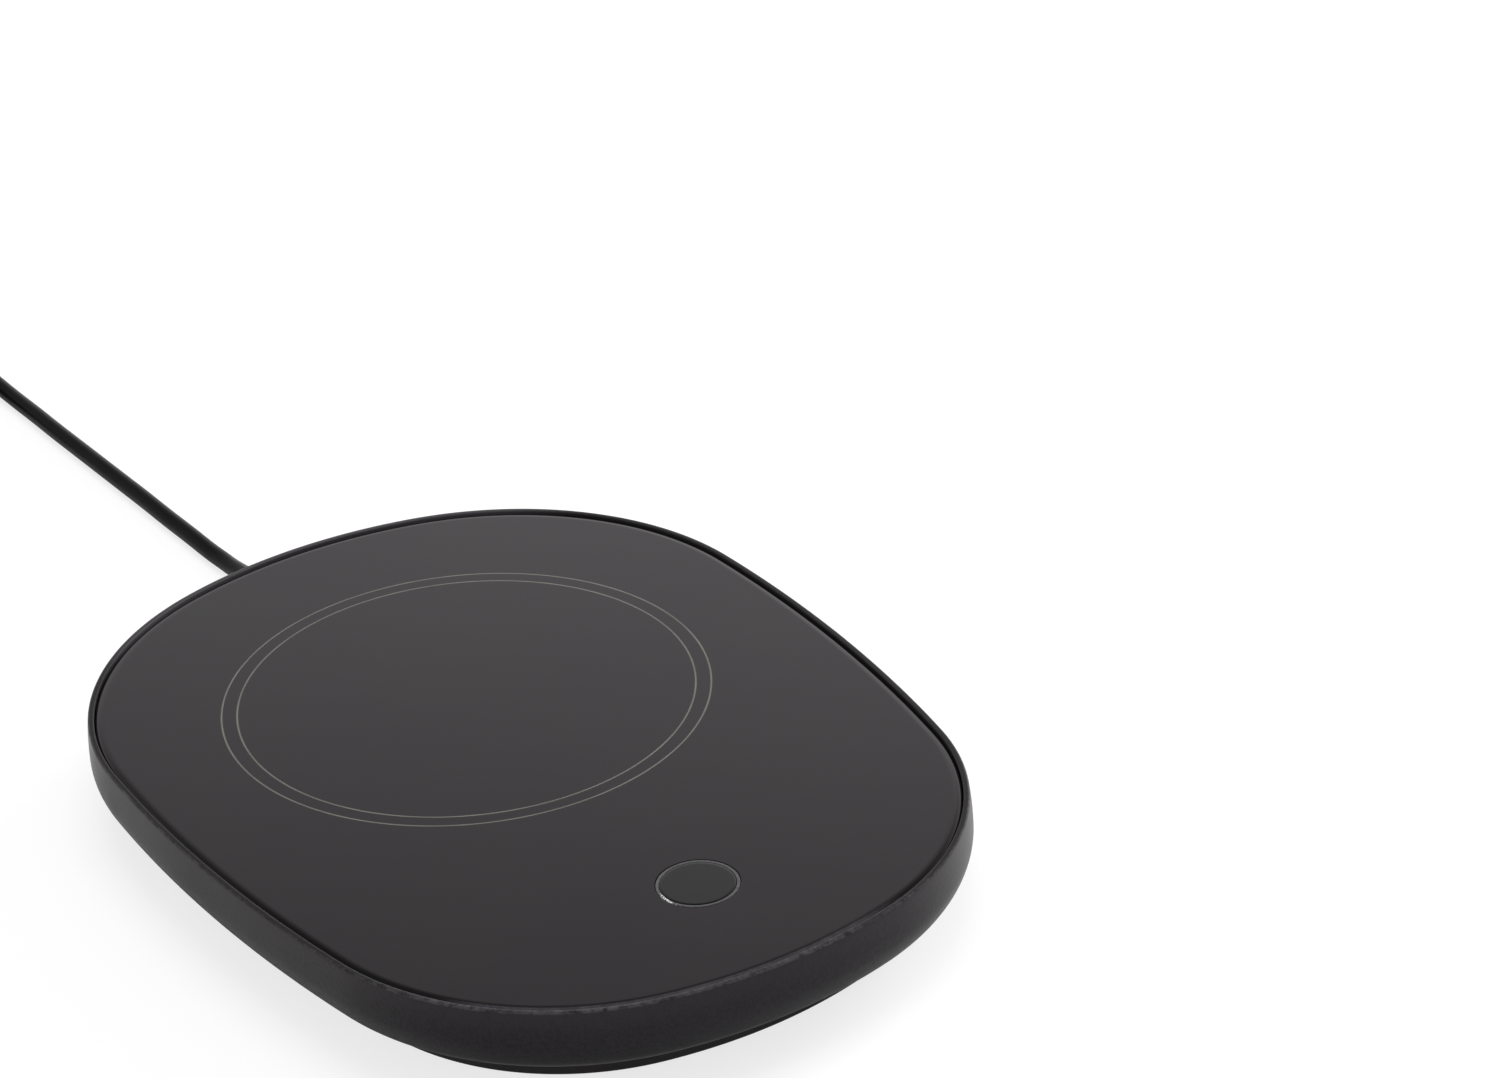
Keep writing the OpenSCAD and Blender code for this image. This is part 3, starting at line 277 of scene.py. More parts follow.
def ring(bm, points, z=None):
    """Vertices at points given in millimetres, at one height if z is given."""
    placed = [(p[0], p[1], p[2] if z is None else z) for p in points]
    return [bm.verts.new(Vector(p) * MM) for p in placed]


def band(bm, lower, painted_upper_light):
    """Quads between two closed rings."""
    n = len(lower)
    for i in range(n):
        j = (i + 1) % n
        bm.faces.new((lower[i], lower[j], painted_upper_light[j], painted_upper_light[i]))


def loft(bm, rings):
    """Bands between each ring and the next."""
    for lower, painted_upper_light in zip(rings, rings[1:]):
        band(bm, lower, painted_upper_light)


def capped(bm, rings):
    """A loft with a flat face at each end."""
    loft(bm, rings)
    bm.faces.new(rings[0])
    bm.faces.new(rings[-1][::-1])


def fill(bm, *loops):
    """A flat face with holes: the first loop is its outer edge."""
    edges = []
    for loop in loops:
        for a, b in zip(loop, loop[1:] + loop[:1]):
            edges.append(bm.edges.get((a, b)) or bm.edges.new((a, b)))
    bmesh.ops.triangle_fill(bm, edges=edges, use_beauty=True)


def spin(bm, at, profile, count=CIRCLE_POINTS):
    """A solid turned about a vertical axis from a closed profile of (radius, height)."""
    rows = []
    for r, z in profile:
        if r == 0:
            rows.append([bm.verts.new(Vector((at[0], at[1], z)) * MM)])
        else:
            rows.append(ring(bm, circle(at, r, count), z))
    for a, b in zip(rows, rows[1:] + rows[:1]):
        if len(a) == 1 and len(b) == 1:
            continue
        for i in range(count):
            j = (i + 1) % count
            if len(a) == 1:
                bm.faces.new((a[0], b[j], b[i]))
            elif len(b) == 1:
                bm.faces.new((a[i], a[j], b[0]))
            else:
                bm.faces.new((a[i], a[j], b[j], b[i]))


def piece(name, bm, sharp=SHARP_ANGLE):
    """Turns a bmesh into a smooth shaded object whose sharp edges stay sharp."""
    bmesh.ops.recalc_face_normals(bm, faces=bm.faces)
    mesh = bpy.data.meshes.new(name)
    bm.to_mesh(mesh)
    bm.free()
    mesh.polygons.foreach_set("use_smooth", [True] * len(mesh.polygons))
    mesh.set_sharp_from_angle(angle=sharp)
    obj = bpy.data.objects.new(name, mesh)
    bpy.context.scene.collection.objects.link(obj)
    return obj


def flat_faces_first(obj):
    """Lets the large flat faces keep their own direction in the shading."""
    weighted = obj.modifiers.new("flat_faces", "WEIGHTED_NORMAL")
    weighted.keep_sharp = True
    weighted.weight = 100


def cut(obj, cutter):
    """Cuts one object out of another, and removes the cutter."""
    boolean = obj.modifiers.new("cut", "BOOLEAN")
    boolean.operation = "DIFFERENCE"
    boolean.solver = "EXACT"
    boolean.object = cutter
    graph = bpy.context.evaluated_depsgraph_get()
    made = bpy.data.meshes.new_from_object(obj.evaluated_get(graph))
    obj.modifiers.remove(boolean)
    old = obj.data
    obj.data = made
    made.name = obj.name
    bpy.data.meshes.remove(old)
    bpy.data.objects.remove(cutter)
    obj.data.set_sharp_from_angle(angle=SHARP_ANGLE)


def rounded(start, end, corner, steps=5):
    """Points from start to end around a rounded corner, both ends included."""
    points = []
    for i in range(steps + 1):
        t = i / steps
        a, b, c = (1 - t) ** 2, 2 * t * (1 - t), t * t
        points.append(tuple(a * s + b * k + c * e for s, k, e in zip(start, corner, end)))
    return points


def catmull(points, steps):
    """A smooth line through points, with so many steps for each stretch."""
    line = []
    last = len(points) - 1
    for i in range(last):
        p0, p1 = Vector(points[max(i - 1, 0)]), Vector(points[i])
        p2, p3 = Vector(points[i + 1]), Vector(points[min(i + 2, last)])
        for k in range(steps):
            t = k / steps
            bend = (2 * p0 - 5 * p1 + 4 * p2 - p3) * t * t
            twist = (3 * p1 - p0 - 3 * p2 + p3) * t ** 3
            line.append((2 * p1 + (p2 - p0) * t + bend + twist) / 2)
    return line + [Vector(points[-1])]


def sweep(bm, path, radii, sides=32):
    """A closed tube along a path, with a radius at each point."""
    rings = []
    for i, p in enumerate(path):
        ahead = (path[min(i + 1, len(path) - 1)] - path[max(i - 1, 0)]).normalized()
        across = Vector((0, 0, 1)).cross(ahead).normalized()
        up = ahead.cross(across)
        turn = 2 * math.pi / sides
        spokes = [math.cos(k * turn) * across + math.sin(k * turn) * up for k in range(sides)]
        rings.append(ring(bm, [p + radii[i] * v for v in spokes]))
    capped(bm, rings)


# --- materials ---


class Nodes:
    """Short calls that add nodes to one node tree."""

    def __init__(self, tree):
        self.tree = tree

    def node(self, kind, inputs=None, **values):
        """A new node with its settings, and with values or links on its inputs."""
        made = self.tree.nodes.new(kind)
        for name, value in values.items():
            setattr(made, name, value)
        for name, value in (inputs or {}).items():
            self.join(value, made.inputs[name])
        return made

    def join(self, source, target):
        """A link from one socket to another, or a plain value on it."""
        if isinstance(source, bpy.types.NodeSocket):
            self.tree.links.new(source, target)
        else:
            target.default_value = source

    def split(self, vector):
        """The X, Y and Z of a vector."""
        return self.node("ShaderNodeSeparateXYZ", {"Vector": vector}).outputs

    def remap(self, source, low, high, to_low=0.0, to_high=1.0, smooth=False):
        """A value stretched from low..high to to_low..to_high, and held there."""
        inputs = {"Value": source, "From Min": low, "From Max": high, "To Min": to_low, "To Max": to_high}
        kind = "SMOOTHSTEP" if smooth else "LINEAR"
        return self.node("ShaderNodeMapRange", inputs, interpolation_type=kind).outputs["Result"]

    def math(self, operation, *values):
        """One Math node on sockets or numbers."""
        inputs = dict(enumerate(values))
        return self.node("ShaderNodeMath", inputs, operation=operation).outputs["Value"]

    def times(self, first, *others):
        """The product of sockets and numbers."""
        for other in others:
            first = self.math("MULTIPLY", first, other)
        return first

    def mix(self, factor, a, b):
        """A colour between two colours or sockets."""
        a, b = [(*c[:3], 1.0) if isinstance(c, tuple) else c for c in (a, b)]
        inputs = {"Factor": factor, "A": a, "B": b}
        return self.node("ShaderNodeMix", inputs, data_type="RGBA").outputs["Result"]


class Finish(Nodes):
    """A material with one Principled shader."""

    def __init__(self, name, colour, rough, metallic=0.0, specular=0.5):
        self.slot = name
        self.material = bpy.data.materials.new(name)
        self.material.use_nodes = True
        super().__init__(self.material.node_tree)
        self.shader = self.tree.nodes["Principled BSDF"]
        self.colour = (*colour, 1.0)
        self.set("Base Color", self.colour)
        self.set("Roughness", rough)
        self.set("Metallic", metallic)
        self.set("Specular IOR Level", specular)
        self.rough = rough
        self.place = self.node("ShaderNodeTexCoord").outputs["Object"]

    def set(self, socket, value):
        """A value on one of the shader's own sockets."""
        self.shader.inputs[socket].default_value = value

    def drive(self, socket, source):
        """A link to one of the shader's sockets."""
        self.join(source, self.shader.inputs[socket])

    def noise(self, grain, detail=3.0, stretch=None, roughness=0.5):
        """Noise whose features are about grain millimetres across."""
        place = self.place
        if stretch:
            place = self.node("ShaderNodeMapping", {"Vector": place, "Scale": stretch}).outputs["Vector"]
        inputs = {"Vector": place, "Scale": 1 / (grain * MM), "Detail": detail, "Roughness": roughness}
        return self.node("ShaderNodeTexNoise", inputs).outputs["Fac"]

    def cells(self, size, feature="F1", output="Distance", randomness=1.0):
        """Voronoi cells about size millimetres across."""
        inputs = {"Vector": self.place, "Scale": 1 / (size * MM), "Randomness": randomness}
        return self.node("ShaderNodeTexVoronoi", inputs, feature=feature).outputs[output]

    def bump(self, height, depth):
        """A bump of so many millimetres."""
        inputs = {"Height": height, "Distance": depth * MM, "Strength": 1.0}
        self.drive("Normal", self.node("ShaderNodeBump", inputs).outputs["Normal"])

    def shade(self, amount):
        """The finish's own colour, lighter or darker."""
        return tuple(min(1.0, c * amount) for c in self.colour[:3])

    def tint(self, factor, low, high):
        """The colour varies between two shades of the finish's own. Returns its socket."""
        colour = self.mix(factor, self.shade(low), self.shade(high))
        self.drive("Base Color", colour)
        return colour


def mottled(finish, size=14.0, spread=0.12):
    """Slow colour and roughness variation over the whole piece. Returns the colour's socket."""
    cloud = finish.remap(finish.noise(size, 3.0), 0.3, 0.7)
    finish.drive("Roughness", finish.remap(cloud, 0.0, 1.0, finish.rough * 0.92, finish.rough * 1.08))
    return finish.tint(cloud, 1 - spread, 1 + spread)


def moulded(name, colour, rough, grain=0.3, depth=0.01, specular=0.5, spread=0.12):
    """Moulded plastic or rubber: a fine grain and slow variation."""
    finish = Finish(name, colour, rough, specular=specular)
    mottled(finish, spread=spread)
    finish.bump(finish.noise(grain, 2.0), depth)
    return finish


def metal(name, colour, rough, grain=(1.0, 1.0, 1.0), size=0.3, depth=0.004):
    """Metal with fine tool marks along the stretched axis."""
    finish = Finish(name, colour, rough, metallic=1.0)
    marks = finish.remap(finish.noise(size, 4.0, grain), 0.3, 0.7)
    finish.tint(marks, 0.86, 1.06)
    finish.drive("Roughness", finish.remap(marks, 0.0, 1.0, rough * 0.8, rough * 1.25))
    finish.bump(marks, depth)
    return finish


def turned_metal(name, colour, rough, at):
    """Metal with rings of tool marks around a place."""
    finish = Finish(name, colour, rough, metallic=1.0)
    away = finish.times(distance_from(finish, at), 2.2 / MM)
    wave = finish.node("ShaderNodeTexNoise", {"W": away, "Scale": 1.0, "Detail": 4.0}, noise_dimensions="1D")
    marks = finish.remap(wave.outputs["Fac"], 0.3, 0.7)
    finish.tint(marks, 0.85, 1.05)
    finish.drive("Roughness", finish.remap(marks, 0.0, 1.0, rough * 0.8, rough * 1.3))
    finish.bump(marks, 0.005)
    return finish


def distance_from(finish, at):
    """Distance in plan, in metres, from a place in millimetres."""
    place = finish.split(finish.place)
    dx = finish.math("SUBTRACT", place["X"], at[0] * MM)
    dy = finish.math("SUBTRACT", place["Y"], at[1] * MM)
    return finish.math("SQRT", finish.math("ADD", finish.times(dx, dx), finish.times(dy, dy)))


def facing(finish, axis):
    """How far the smooth surface, without its bump, faces along X, Y or Z, from -1 to 1."""
    return finish.split(finish.node("ShaderNodeNewGeometry").outputs["Normal"])[axis]


def facing_out(finish, place):
    """One where a face looks away from the body's middle line, zero where it looks inwards."""
    across = finish.times(facing(finish, "X"), place["X"])
    along = finish.times(facing(finish, "Y"), place["Y"])
    return finish.remap(finish.math("ADD", across, along), 1.0 * MM, 6.0 * MM)


def housing_plastic():
    """Satin black, fine grained, with painted light: lighter towards the rim, a paler rim top and inner rim
    face at the back, and a pale band low on the front wall. The rim's edge is pale, partly rubbed and partly
    a painted highlight, most of all in front of the button.
    """
    finish = Finish("housing_plastic", (0.0068, 0.0059, 0.0067), 0.38, specular=0.155)
    finish.set("Specular Tint", (1.0, 0.93, 0.99, 1.0))
    base = mottled(finish, 22.0, 0.10)
    speckle = finish.remap(finish.noise(0.55, 2.0, roughness=0.7), 0.35, 0.65)
    colour = finish.mix(speckle, base, (0.0142, 0.0127, 0.0146))
    finish.bump(finish.noise(0.45, 2.0, roughness=0.6), 0.03)
    place = finish.split(finish.place)
    height, along = place["Z"], place["Y"]
    up = facing(finish, "Z")
    # Painted light: the wall is coloured lighter towards the rim.
    painted_upper_light = finish.remap(height, 12.5 * MM, 17.0 * MM, 0.0, 0.55, smooth=True)
    colour = finish.mix(painted_upper_light, colour, (0.027, 0.0245, 0.0262))
    top = finish.times(finish.remap(height, 16.5 * MM, 17.1 * MM), finish.remap(up, 0.3, 0.7))
    flat = finish.remap(up, 0.95, 0.995)
    front = finish.remap(along, -30.0 * MM, -68.0 * MM, smooth=True)
    back = finish.remap(along, 58.0 * MM, 72.0 * MM, smooth=True)
    # Painted sheen: the rim's flat top is coloured dark in front and paler towards the back.
    rim_top_painted_sheen = finish.mix(back, (0.0075, 0.0070, 0.0076), (0.034, 0.031, 0.035))
    colour = finish.mix(finish.times(top, flat), colour, rim_top_painted_sheen)
    # Painted highlight: a pale line on the rim's inner face at the back, where it faces the front.
    inner = finish.times(finish.remap(facing(finish, "Y"), -0.15, -0.45), back)
    inner = finish.times(inner, finish.remap(height, 15.6 * MM, 16.6 * MM))
    colour = finish.mix(inner, colour, (0.066, 0.061, 0.068))
    # The rim's rounded outer edge is paler in patches, partly real wear and partly a painted highlight.
    outer = finish.times(top, finish.math("SUBTRACT", 1.0, flat), facing_out(finish, place))
    fine = finish.remap(finish.noise(1.1, 4.0, roughness=0.75), 0.40, 0.60)
    patchy = finish.remap(finish.noise(17.0, 3.0), 0.34, 0.60, 0.3, 1.0)
    wear_and_painted_highlight = finish.times(fine, patchy)
    colour = finish.mix(finish.times(outer, wear_and_painted_highlight), colour, (0.064, 0.055, 0.049))
    # In front of the button the rim top is paler again, partly wear and partly a painted highlight.
    near = finish.times(front, finish.remap(place["X"], 18.0 * MM, 31.0 * MM, 1.0, 0.0))
    colour = finish.mix(finish.times(top, near, wear_and_painted_highlight), colour, (0.052, 0.049, 0.057))
    # Painted reflection: a pale band low on the front wall, where its lower edge would mirror the floor.
    foot = finish.times(finish.remap(height, 6.9 * MM, 7.9 * MM, 1.0, 0.0, smooth=True), front)
    finish.drive("Base Color", finish.mix(foot, colour, (0.056, 0.053, 0.057)))
    return finish


def printed_rings(finish):
    """One on the two printed lines, zero elsewhere."""
    away = distance_from(finish, (0.0, HEATER_Y))
    lines = []
    for r in RING_RADII:
        gap = finish.math("ABSOLUTE", finish.math("SUBTRACT", away, r * MM))
        line = finish.remap(gap, RING_LINE * 0.32 * MM, RING_LINE * 0.62 * MM, 1.0, 0.0, smooth=True)
        lines.append(line)
    return finish.math("MAXIMUM", *lines)


def top_glass():
    """Glass that is black on its back, with printed rings, a little dust and a duller edge."""
    finish = Finish("top_glass", (0.0072, 0.0064, 0.0068), 0.03, specular=GLASS_SHINE)
    finish.set("Specular Tint", (1.0, 0.885, 0.99, 1.0))
    lines = printed_rings(finish)
    printed = finish.times(lines, finish.remap(finish.noise(9.0, 3.0), 0.3, 0.7, 0.62, 1.0))
    haze = finish.remap(finish.noise(28.0, 4.0), 0.35, 0.75)
    clean = finish.mix(haze, finish.colour, (0.0085, 0.0082, 0.0082))
    speck = finish.remap(finish.cells(5.5), 0.012, 0.022, 1.0, 0.0)
    dust_and_painted_sheen = finish.times(speck, finish.remap(finish.noise(31.0, 2.0), 0.60, 0.66))
    clean = finish.mix(dust_and_painted_sheen, clean, (0.05, 0.05, 0.052))
    place = finish.split(finish.place)
    # Painted light: the glass's front edge by the button is coloured paler, over the shade of the groove
    # beside it, broken up by lint-like noise.
    front = finish.remap(place["Y"], -54.0 * MM, -63.0 * MM, smooth=True)
    front = finish.times(front, finish.remap(place["X"], 10.0 * MM, 24.0 * MM, 1.0, 0.0, smooth=True))
    edge = finish.remap(facing(finish, "Z"), 0.985, 0.9995, 1.0, 0.0, smooth=True)
    lint_and_painted_fill = finish.remap(finish.noise(1.3, 4.0, roughness=0.7), 0.35, 0.60, 0.6, 1.0)
    clean = finish.mix(finish.times(front, edge, lint_and_painted_fill), clean, (0.050, 0.046, 0.052))
    finish.drive("Base Color", finish.mix(printed, clean, (0.125, 0.117, 0.102)))
    to_back = finish.math("ADD", finish.times(place["X"], 0.5), finish.times(place["Y"], 0.85))
    duller = finish.remap(to_back, -35.0 * MM, 77.0 * MM, 0.125, 0.04)
    bare = finish.times(edge, finish.math("SUBTRACT", 1.0, front))
    finish.drive("Specular IOR Level", finish.math("SUBTRACT", GLASS_SHINE, finish.times(bare, duller)))
    smear = finish.remap(finish.noise(17.0, 5.0, roughness=0.6), 0.3, 0.7, 0.022, 0.042)
    finish.drive("Roughness", finish.math("ADD", smear, finish.times(lines, 0.16)))
    return finish


def light_guide():
    """Frosted acrylic with one small painted glint on its left."""
    finish = Finish("light_guide", (0.058, 0.057, 0.060), 0.36, specular=0.35)
    frost = finish.remap(finish.noise(0.5, 4.0, roughness=0.7), 0.35, 0.7)
    # Painted glint: a small bright spot on the ring's left, broken into sparkles.
    glint_place = finish.remap(distance_from(finish, (-6.0, BUTTON_Y - 1.5)), 1.6 * MM, 2.8 * MM, 1.0, 0.0)
    painted_glint = finish.times(glint_place, finish.remap(finish.noise(0.45, 2.0), 0.50, 0.60))
    finish.drive("Base Color", finish.mix(painted_glint, finish.tint(frost, 0.7, 1.4), (0.55, 0.55, 0.56)))
    finish.bump(frost, 0.01)
    return finish


def cord_jacket():
    """Satin PVC jacket; next to the body its left side has a painted reflection, pale and brownish in
    streaks.
    """
    finish = Finish("cord_black", (0.0034, 0.0032, 0.0035), 0.34, specular=0.06)
    clean = mottled(finish, 7.0, 0.18)
    # Painted reflection: the side facing left is coloured paler next to the body, in streaks.
    side_streaks = finish.remap(finish.noise(2.2, 4.0, (1.0, 0.3, 1.0), 0.7), 0.50, 0.66)
    near = finish.remap(finish.split(finish.place)["Y"], 86.0 * MM, 118.0 * MM, 1.0, 0.0, smooth=True)
    dust_and_painted_sheen = finish.times(finish.remap(facing(finish, "X"), -0.45, -0.85), near, side_streaks)
    finish.drive("Base Color", finish.mix(dust_and_painted_sheen, clean, (0.036, 0.029, 0.025)))
    finish.bump(finish.noise(0.35, 3.0), 0.012)
    return finish


def felt():
    """Needled felt: tangled fibres and a soft sheen."""
    finish = Finish("felt", (0.72, 0.70, 0.65), 0.95, specular=0.2)
    fibres = finish.noise(0.25, 6.0, (1.0, 0.35, 1.0), 0.75)
    pulled = finish.remap(fibres, 0.3, 0.7)
    finish.tint(pulled, 0.72, 1.08)
    finish.set("Sheen Weight", 0.4)
    finish.bump(pulled, 0.09)
    return finish


def mica():
    """Pressed mica flakes with a pearly glint."""
    finish = Finish("mica", (0.42, 0.35, 0.23), 0.38, specular=0.6)
    tone = finish.node("ShaderNodeRGBToBW", {"Color": finish.cells(1.6, output="Color")}).outputs["Val"]
    finish.tint(tone, 0.6, 1.5)
    finish.drive("Roughness", finish.remap(tone, 0.0, 1.0, 0.25, 0.55))
    finish.bump(tone, 0.01)
    return finish


def board_green():
    """Green solder mask over faint copper tracks."""
    finish = Finish("board_green", (0.012, 0.105, 0.045), 0.3)
    lines = finish.cells(3.2, feature="DISTANCE_TO_EDGE", randomness=0.35)
    track = finish.remap(lines, 0.10, 0.14, smooth=True)
    finish.tint(track, 1.7, 0.85)
    finish.bump(track, 0.03)
    finish.set("Coat Weight", 0.4)
    finish.set("Coat Roughness", 0.2)
    return finish


def woven_strap():
    """A black woven strap: fine crossing ribs."""
    finish = Finish("tie_black", (0.022, 0.022, 0.024), 0.82, specular=0.3)
    inputs = {"Vector": finish.place, "Scale": 1 / (3.4 * MM), "Distortion": 1.2, "Detail": 2.0}
    weave = finish.node("ShaderNodeTexWave", inputs, bands_direction="X").outputs["Fac"]
    tone = finish.remap(finish.times(weave, finish.noise(0.3, 3.0, (1.0, 3.0, 3.0))), 0.1, 0.7)
    finish.tint(tone, 0.55, 1.9)
    finish.set("Sheen Weight", 0.3)
    finish.bump(tone, 0.08)
    return finish


def all_finishes():
    """One material for each of the record's slots."""
    finishes = [
        housing_plastic(),
        moulded("base_plastic", (0.036, 0.033, 0.0355), 0.55, 0.28, 0.014, 0.2),
        top_glass(),
        moulded("silicone", (0.33, 0.33, 0.32), 0.5, 0.8, 0.02, 0.4),
        turned_metal("aluminium_plate", (0.78, 0.79, 0.80), 0.32, (0.0, HEATER_Y)),
        mica(),
        metal("resistance_foil", (0.36, 0.33, 0.31), 0.45, (1.0, 1.0, 1.0), 0.7),
        felt(),
        metal("sheet_steel", (0.60, 0.61, 0.63), 0.34, (0.15, 1.0, 1.0), 0.25),
        metal("screw_steel", (0.58, 0.58, 0.60), 0.26, (1.0, 1.0, 0.3), 0.15),
        moulded("fuse_case", (0.76, 0.74, 0.68), 0.3, 0.6, 0.006),
        metal("probe_brass", (0.72, 0.58, 0.30), 0.28, (1.0, 1.0, 0.2), 0.2),
        metal("terminal_brass", (0.70, 0.66, 0.54), 0.3, (1.0, 0.3, 1.0), 0.2),
        moulded("wire_white", (0.74, 0.74, 0.70), 0.42, 0.5, 0.01),
        moulded("wire_red", (0.50, 0.035, 0.03), 0.4, 0.4, 0.006),
        board_green(),
        moulded("capacitor_yellow", (0.70, 0.46, 0.06), 0.36, 0.4, 0.01),
        moulded("capacitor_blue", (0.03, 0.05, 0.13), 0.3, 0.9, 0.01),
        moulded("chip_black", (0.018, 0.018, 0.018), 0.5, 0.16, 0.01, 0.4),
        moulded("connector_white", (0.78, 0.78, 0.72), 0.38, 0.5, 0.008),
        moulded("lamp_white", (0.82, 0.84, 0.86), 0.15, 0.7, 0.004),
        moulded("switch_red", (0.60, 0.08, 0.03), 0.35, 0.4, 0.008),
        moulded("button_gloss", (0.0072, 0.0072, 0.0078), 0.05, 18.0, 0.002, 0.33, 0.1),
        light_guide(),
        moulded("foot_rubber", (0.016, 0.016, 0.016), 0.72, 0.35, 0.02, 0.3),
        moulded("clamp_plastic", (0.62, 0.62, 0.57), 0.45, 0.5, 0.01),
        moulded("wire_brown", (0.17, 0.065, 0.025), 0.38, 0.4, 0.008),
        moulded("wire_blue", (0.035, 0.10, 0.36), 0.38, 0.4, 0.008),
        cord_jacket(),
        woven_strap(),
        moulded("plug_black", (0.017, 0.017, 0.018), 0.42, 0.3, 0.014, 0.4),
        metal("blade_brass", (0.72, 0.68, 0.56), 0.24, (1.0, 0.12, 1.0), 0.25),
    ]
    return {finish.slot: finish.material for finish in finishes}


# --- camera, floor and light ---


def make_camera():
    """The photograph's viewing angle."""
    data = bpy.data.cameras.new("camera")
    data.lens = LENS
    data.sensor_width = SENSOR
    data.clip_start = 0.01
    data.clip_end = 20.0
    camera = bpy.data.objects.new("camera", data)
    camera.location = Vector(CAMERA_AT) * MM
    camera.rotation_euler = [math.radians(a) for a in CAMERA_TURN]
    bpy.context.scene.collection.objects.link(camera)
    bpy.context.scene.camera = camera


def make_floor():
    """A pale floor that keeps the object's shadow and otherwise shows as white, more so farther out."""
    bm = bmesh.new()
    corners = [(-1, -1), (1, -1), (1, 1), (-1, 1)]
    bm.faces.new([bm.verts.new((x * FLOOR_HALF, y * FLOOR_HALF, -FLOOR_BELOW)) for x, y in corners])
    floor = piece("floor", bm)
    finish = Finish("floor", FLOOR_DIM, 0.9, specular=0.0)
    away = finish.node("ShaderNodeVectorMath", {0: finish.place}, operation="LENGTH")
    whiteness = finish.remap(away.outputs["Value"], 0.30, 0.70, FLOOR_WHITENESS, 1.0)
    path = finish.node("ShaderNodeLightPath").outputs
    seen = finish.math("MAXIMUM", path["Is Camera Ray"], path["Is Glossy Ray"])
    finish.drive("Base Color", finish.mix(seen, FLOOR_DIM, FLOOR_PALE))
    share = finish.times(path["Is Camera Ray"], whiteness)
    white = finish.node("ShaderNodeEmission").outputs["Emission"]
    mixed = finish.node("ShaderNodeMixShader", {0: share, 1: finish.shader.outputs["BSDF"], 2: white})
    finish.join(mixed.outputs["Shader"], finish.tree.nodes["Material Output"].inputs["Surface"])
    floor.data.materials.append(finish.material)


def make_world():
    """An even studio. Gloss mirrors it as bright near the horizon, and the camera sees plain white."""
    world = bpy.data.worlds.new("studio")
    world.use_nodes = True
    bpy.context.scene.world = world
    sky = Nodes(world.node_tree)
    towards = sky.split(sky.node("ShaderNodeTexCoord").outputs["Generated"])
    fade = sky.remap(towards["Z"], 0.38, 0.74, 1.0, 0.04, smooth=True)
    backdrop = sky.times(fade, sky.remap(towards["X"], 0.28, 0.52, 0.92, 1.35))
    path = sky.node("ShaderNodeLightPath").outputs
    mirrored = sky.node("ShaderNodeMix", {"Factor": path["Is Glossy Ray"], "A": 0.62, "B": backdrop})
    background = sky.tree.nodes["Background"].inputs
    sky.join((1.0, 1.0, 1.0, 1.0), background["Color"])
    seen = sky.math("MAXIMUM", path["Is Camera Ray"], mirrored.outputs["Result"])
    sky.join(seen, background["Strength"])


def make_lamp(name, at, size, power, mirrored):
    """A square area lamp at a place in metres, aimed at the object."""
    data = bpy.data.lights.new(name, "AREA")
    data.size = size
    data.energy = power
    lamp = bpy.data.objects.new(name, data)
    lamp.location = at
    lamp.rotation_euler = (-Vector(at)).to_track_quat("-Z", "Y").to_euler()
    lamp.visible_glossy = mirrored
    bpy.context.scene.collection.objects.link(lamp)


def make_lamps():
    """Soft light from above and from both sides. Gloss mirrors the left lamp alone."""
    make_lamp("over", (0.15, 0.25, 1.5), 1.0, 13.0, False)
    make_lamp("left", (-1.2, 0.0, 0.6), 0.8, 1.0, True)
    make_lamp("right", (1.25, 0.25, 0.35), 0.8, 27.0, False)


# --- pieces of the lead ---


def from_exit(points):
    """Places counted from where the lead leaves the body."""
    return [Vector((x, y + EXIT_Y, z)) for x, y, z in points]


def coil_points():
    """The coil: one layer wound inwards on the surface, then a second one outwards on top of it."""
    points = []
    start, end = COIL_RISE
    steps = round(COIL_TURNS * COIL_STEPS)
    inner = (COIL_R - COIL_IN_R) / COIL_PITCH
    for i in range(steps + 1):
        turns = i / COIL_STEPS
        lift = min(1.0, max(0.0, (turns - start) / (end - start)))
        lift = lift * lift * (3 - 2 * lift)
        r = COIL_R - COIL_PITCH * turns if turns < inner else COIL_IN_R + COIL_PITCH * (turns - inner)
        a = 2 * math.pi * turns
        z = COIL_LOW_Z + (COIL_HIGH_Z - COIL_LOW_Z) * lift
        points.append((COIL_AT[0] + r * math.cos(a), COIL_AT[1] + r * math.sin(a), z))
    return points


def make_cord():
    """The free lead: along the surface, around the coil and to the plug, as one curve."""
    points = from_exit(CORD_ROUTE + coil_points() + TAIL_ROUTE)
    curve = bpy.data.curves.new("power_lead", "CURVE")
    curve.dimensions = "3D"
    curve.resolution_u = 6
    curve.bevel_depth = CORD_R * MM
    curve.bevel_resolution = 6
    curve.use_fill_caps = True
    spline = curve.splines.new("BEZIER")
    spline.bezier_points.add(len(points) - 1)
    for knot, point in zip(spline.bezier_points, points):
        knot.co = point * MM
        knot.handle_left_type = "AUTO"
        knot.handle_right_type = "AUTO"
    lead = bpy.data.objects.new("power_lead", curve)
    bpy.context.scene.collection.objects.link(lead)
    return lead


def ribbed_radius(share, root, tip, ribs, nose):
    """Radius at a share of a tail's length. ribs: count, start, depth; nose: length, depth."""
    count, start, depth = ribs
    rib = math.sin(2 * math.pi * count * (share - start) / (RIBS_END - start))
    groove = depth * min(1.0, max(0.0, rib * 1.8 - 0.5)) if start < share < RIBS_END else 0.0
    long, drop = nose
    end = max(0.0, (share - 1 + long) / long)
    return root + (tip - root) * share - groove - drop * end * end


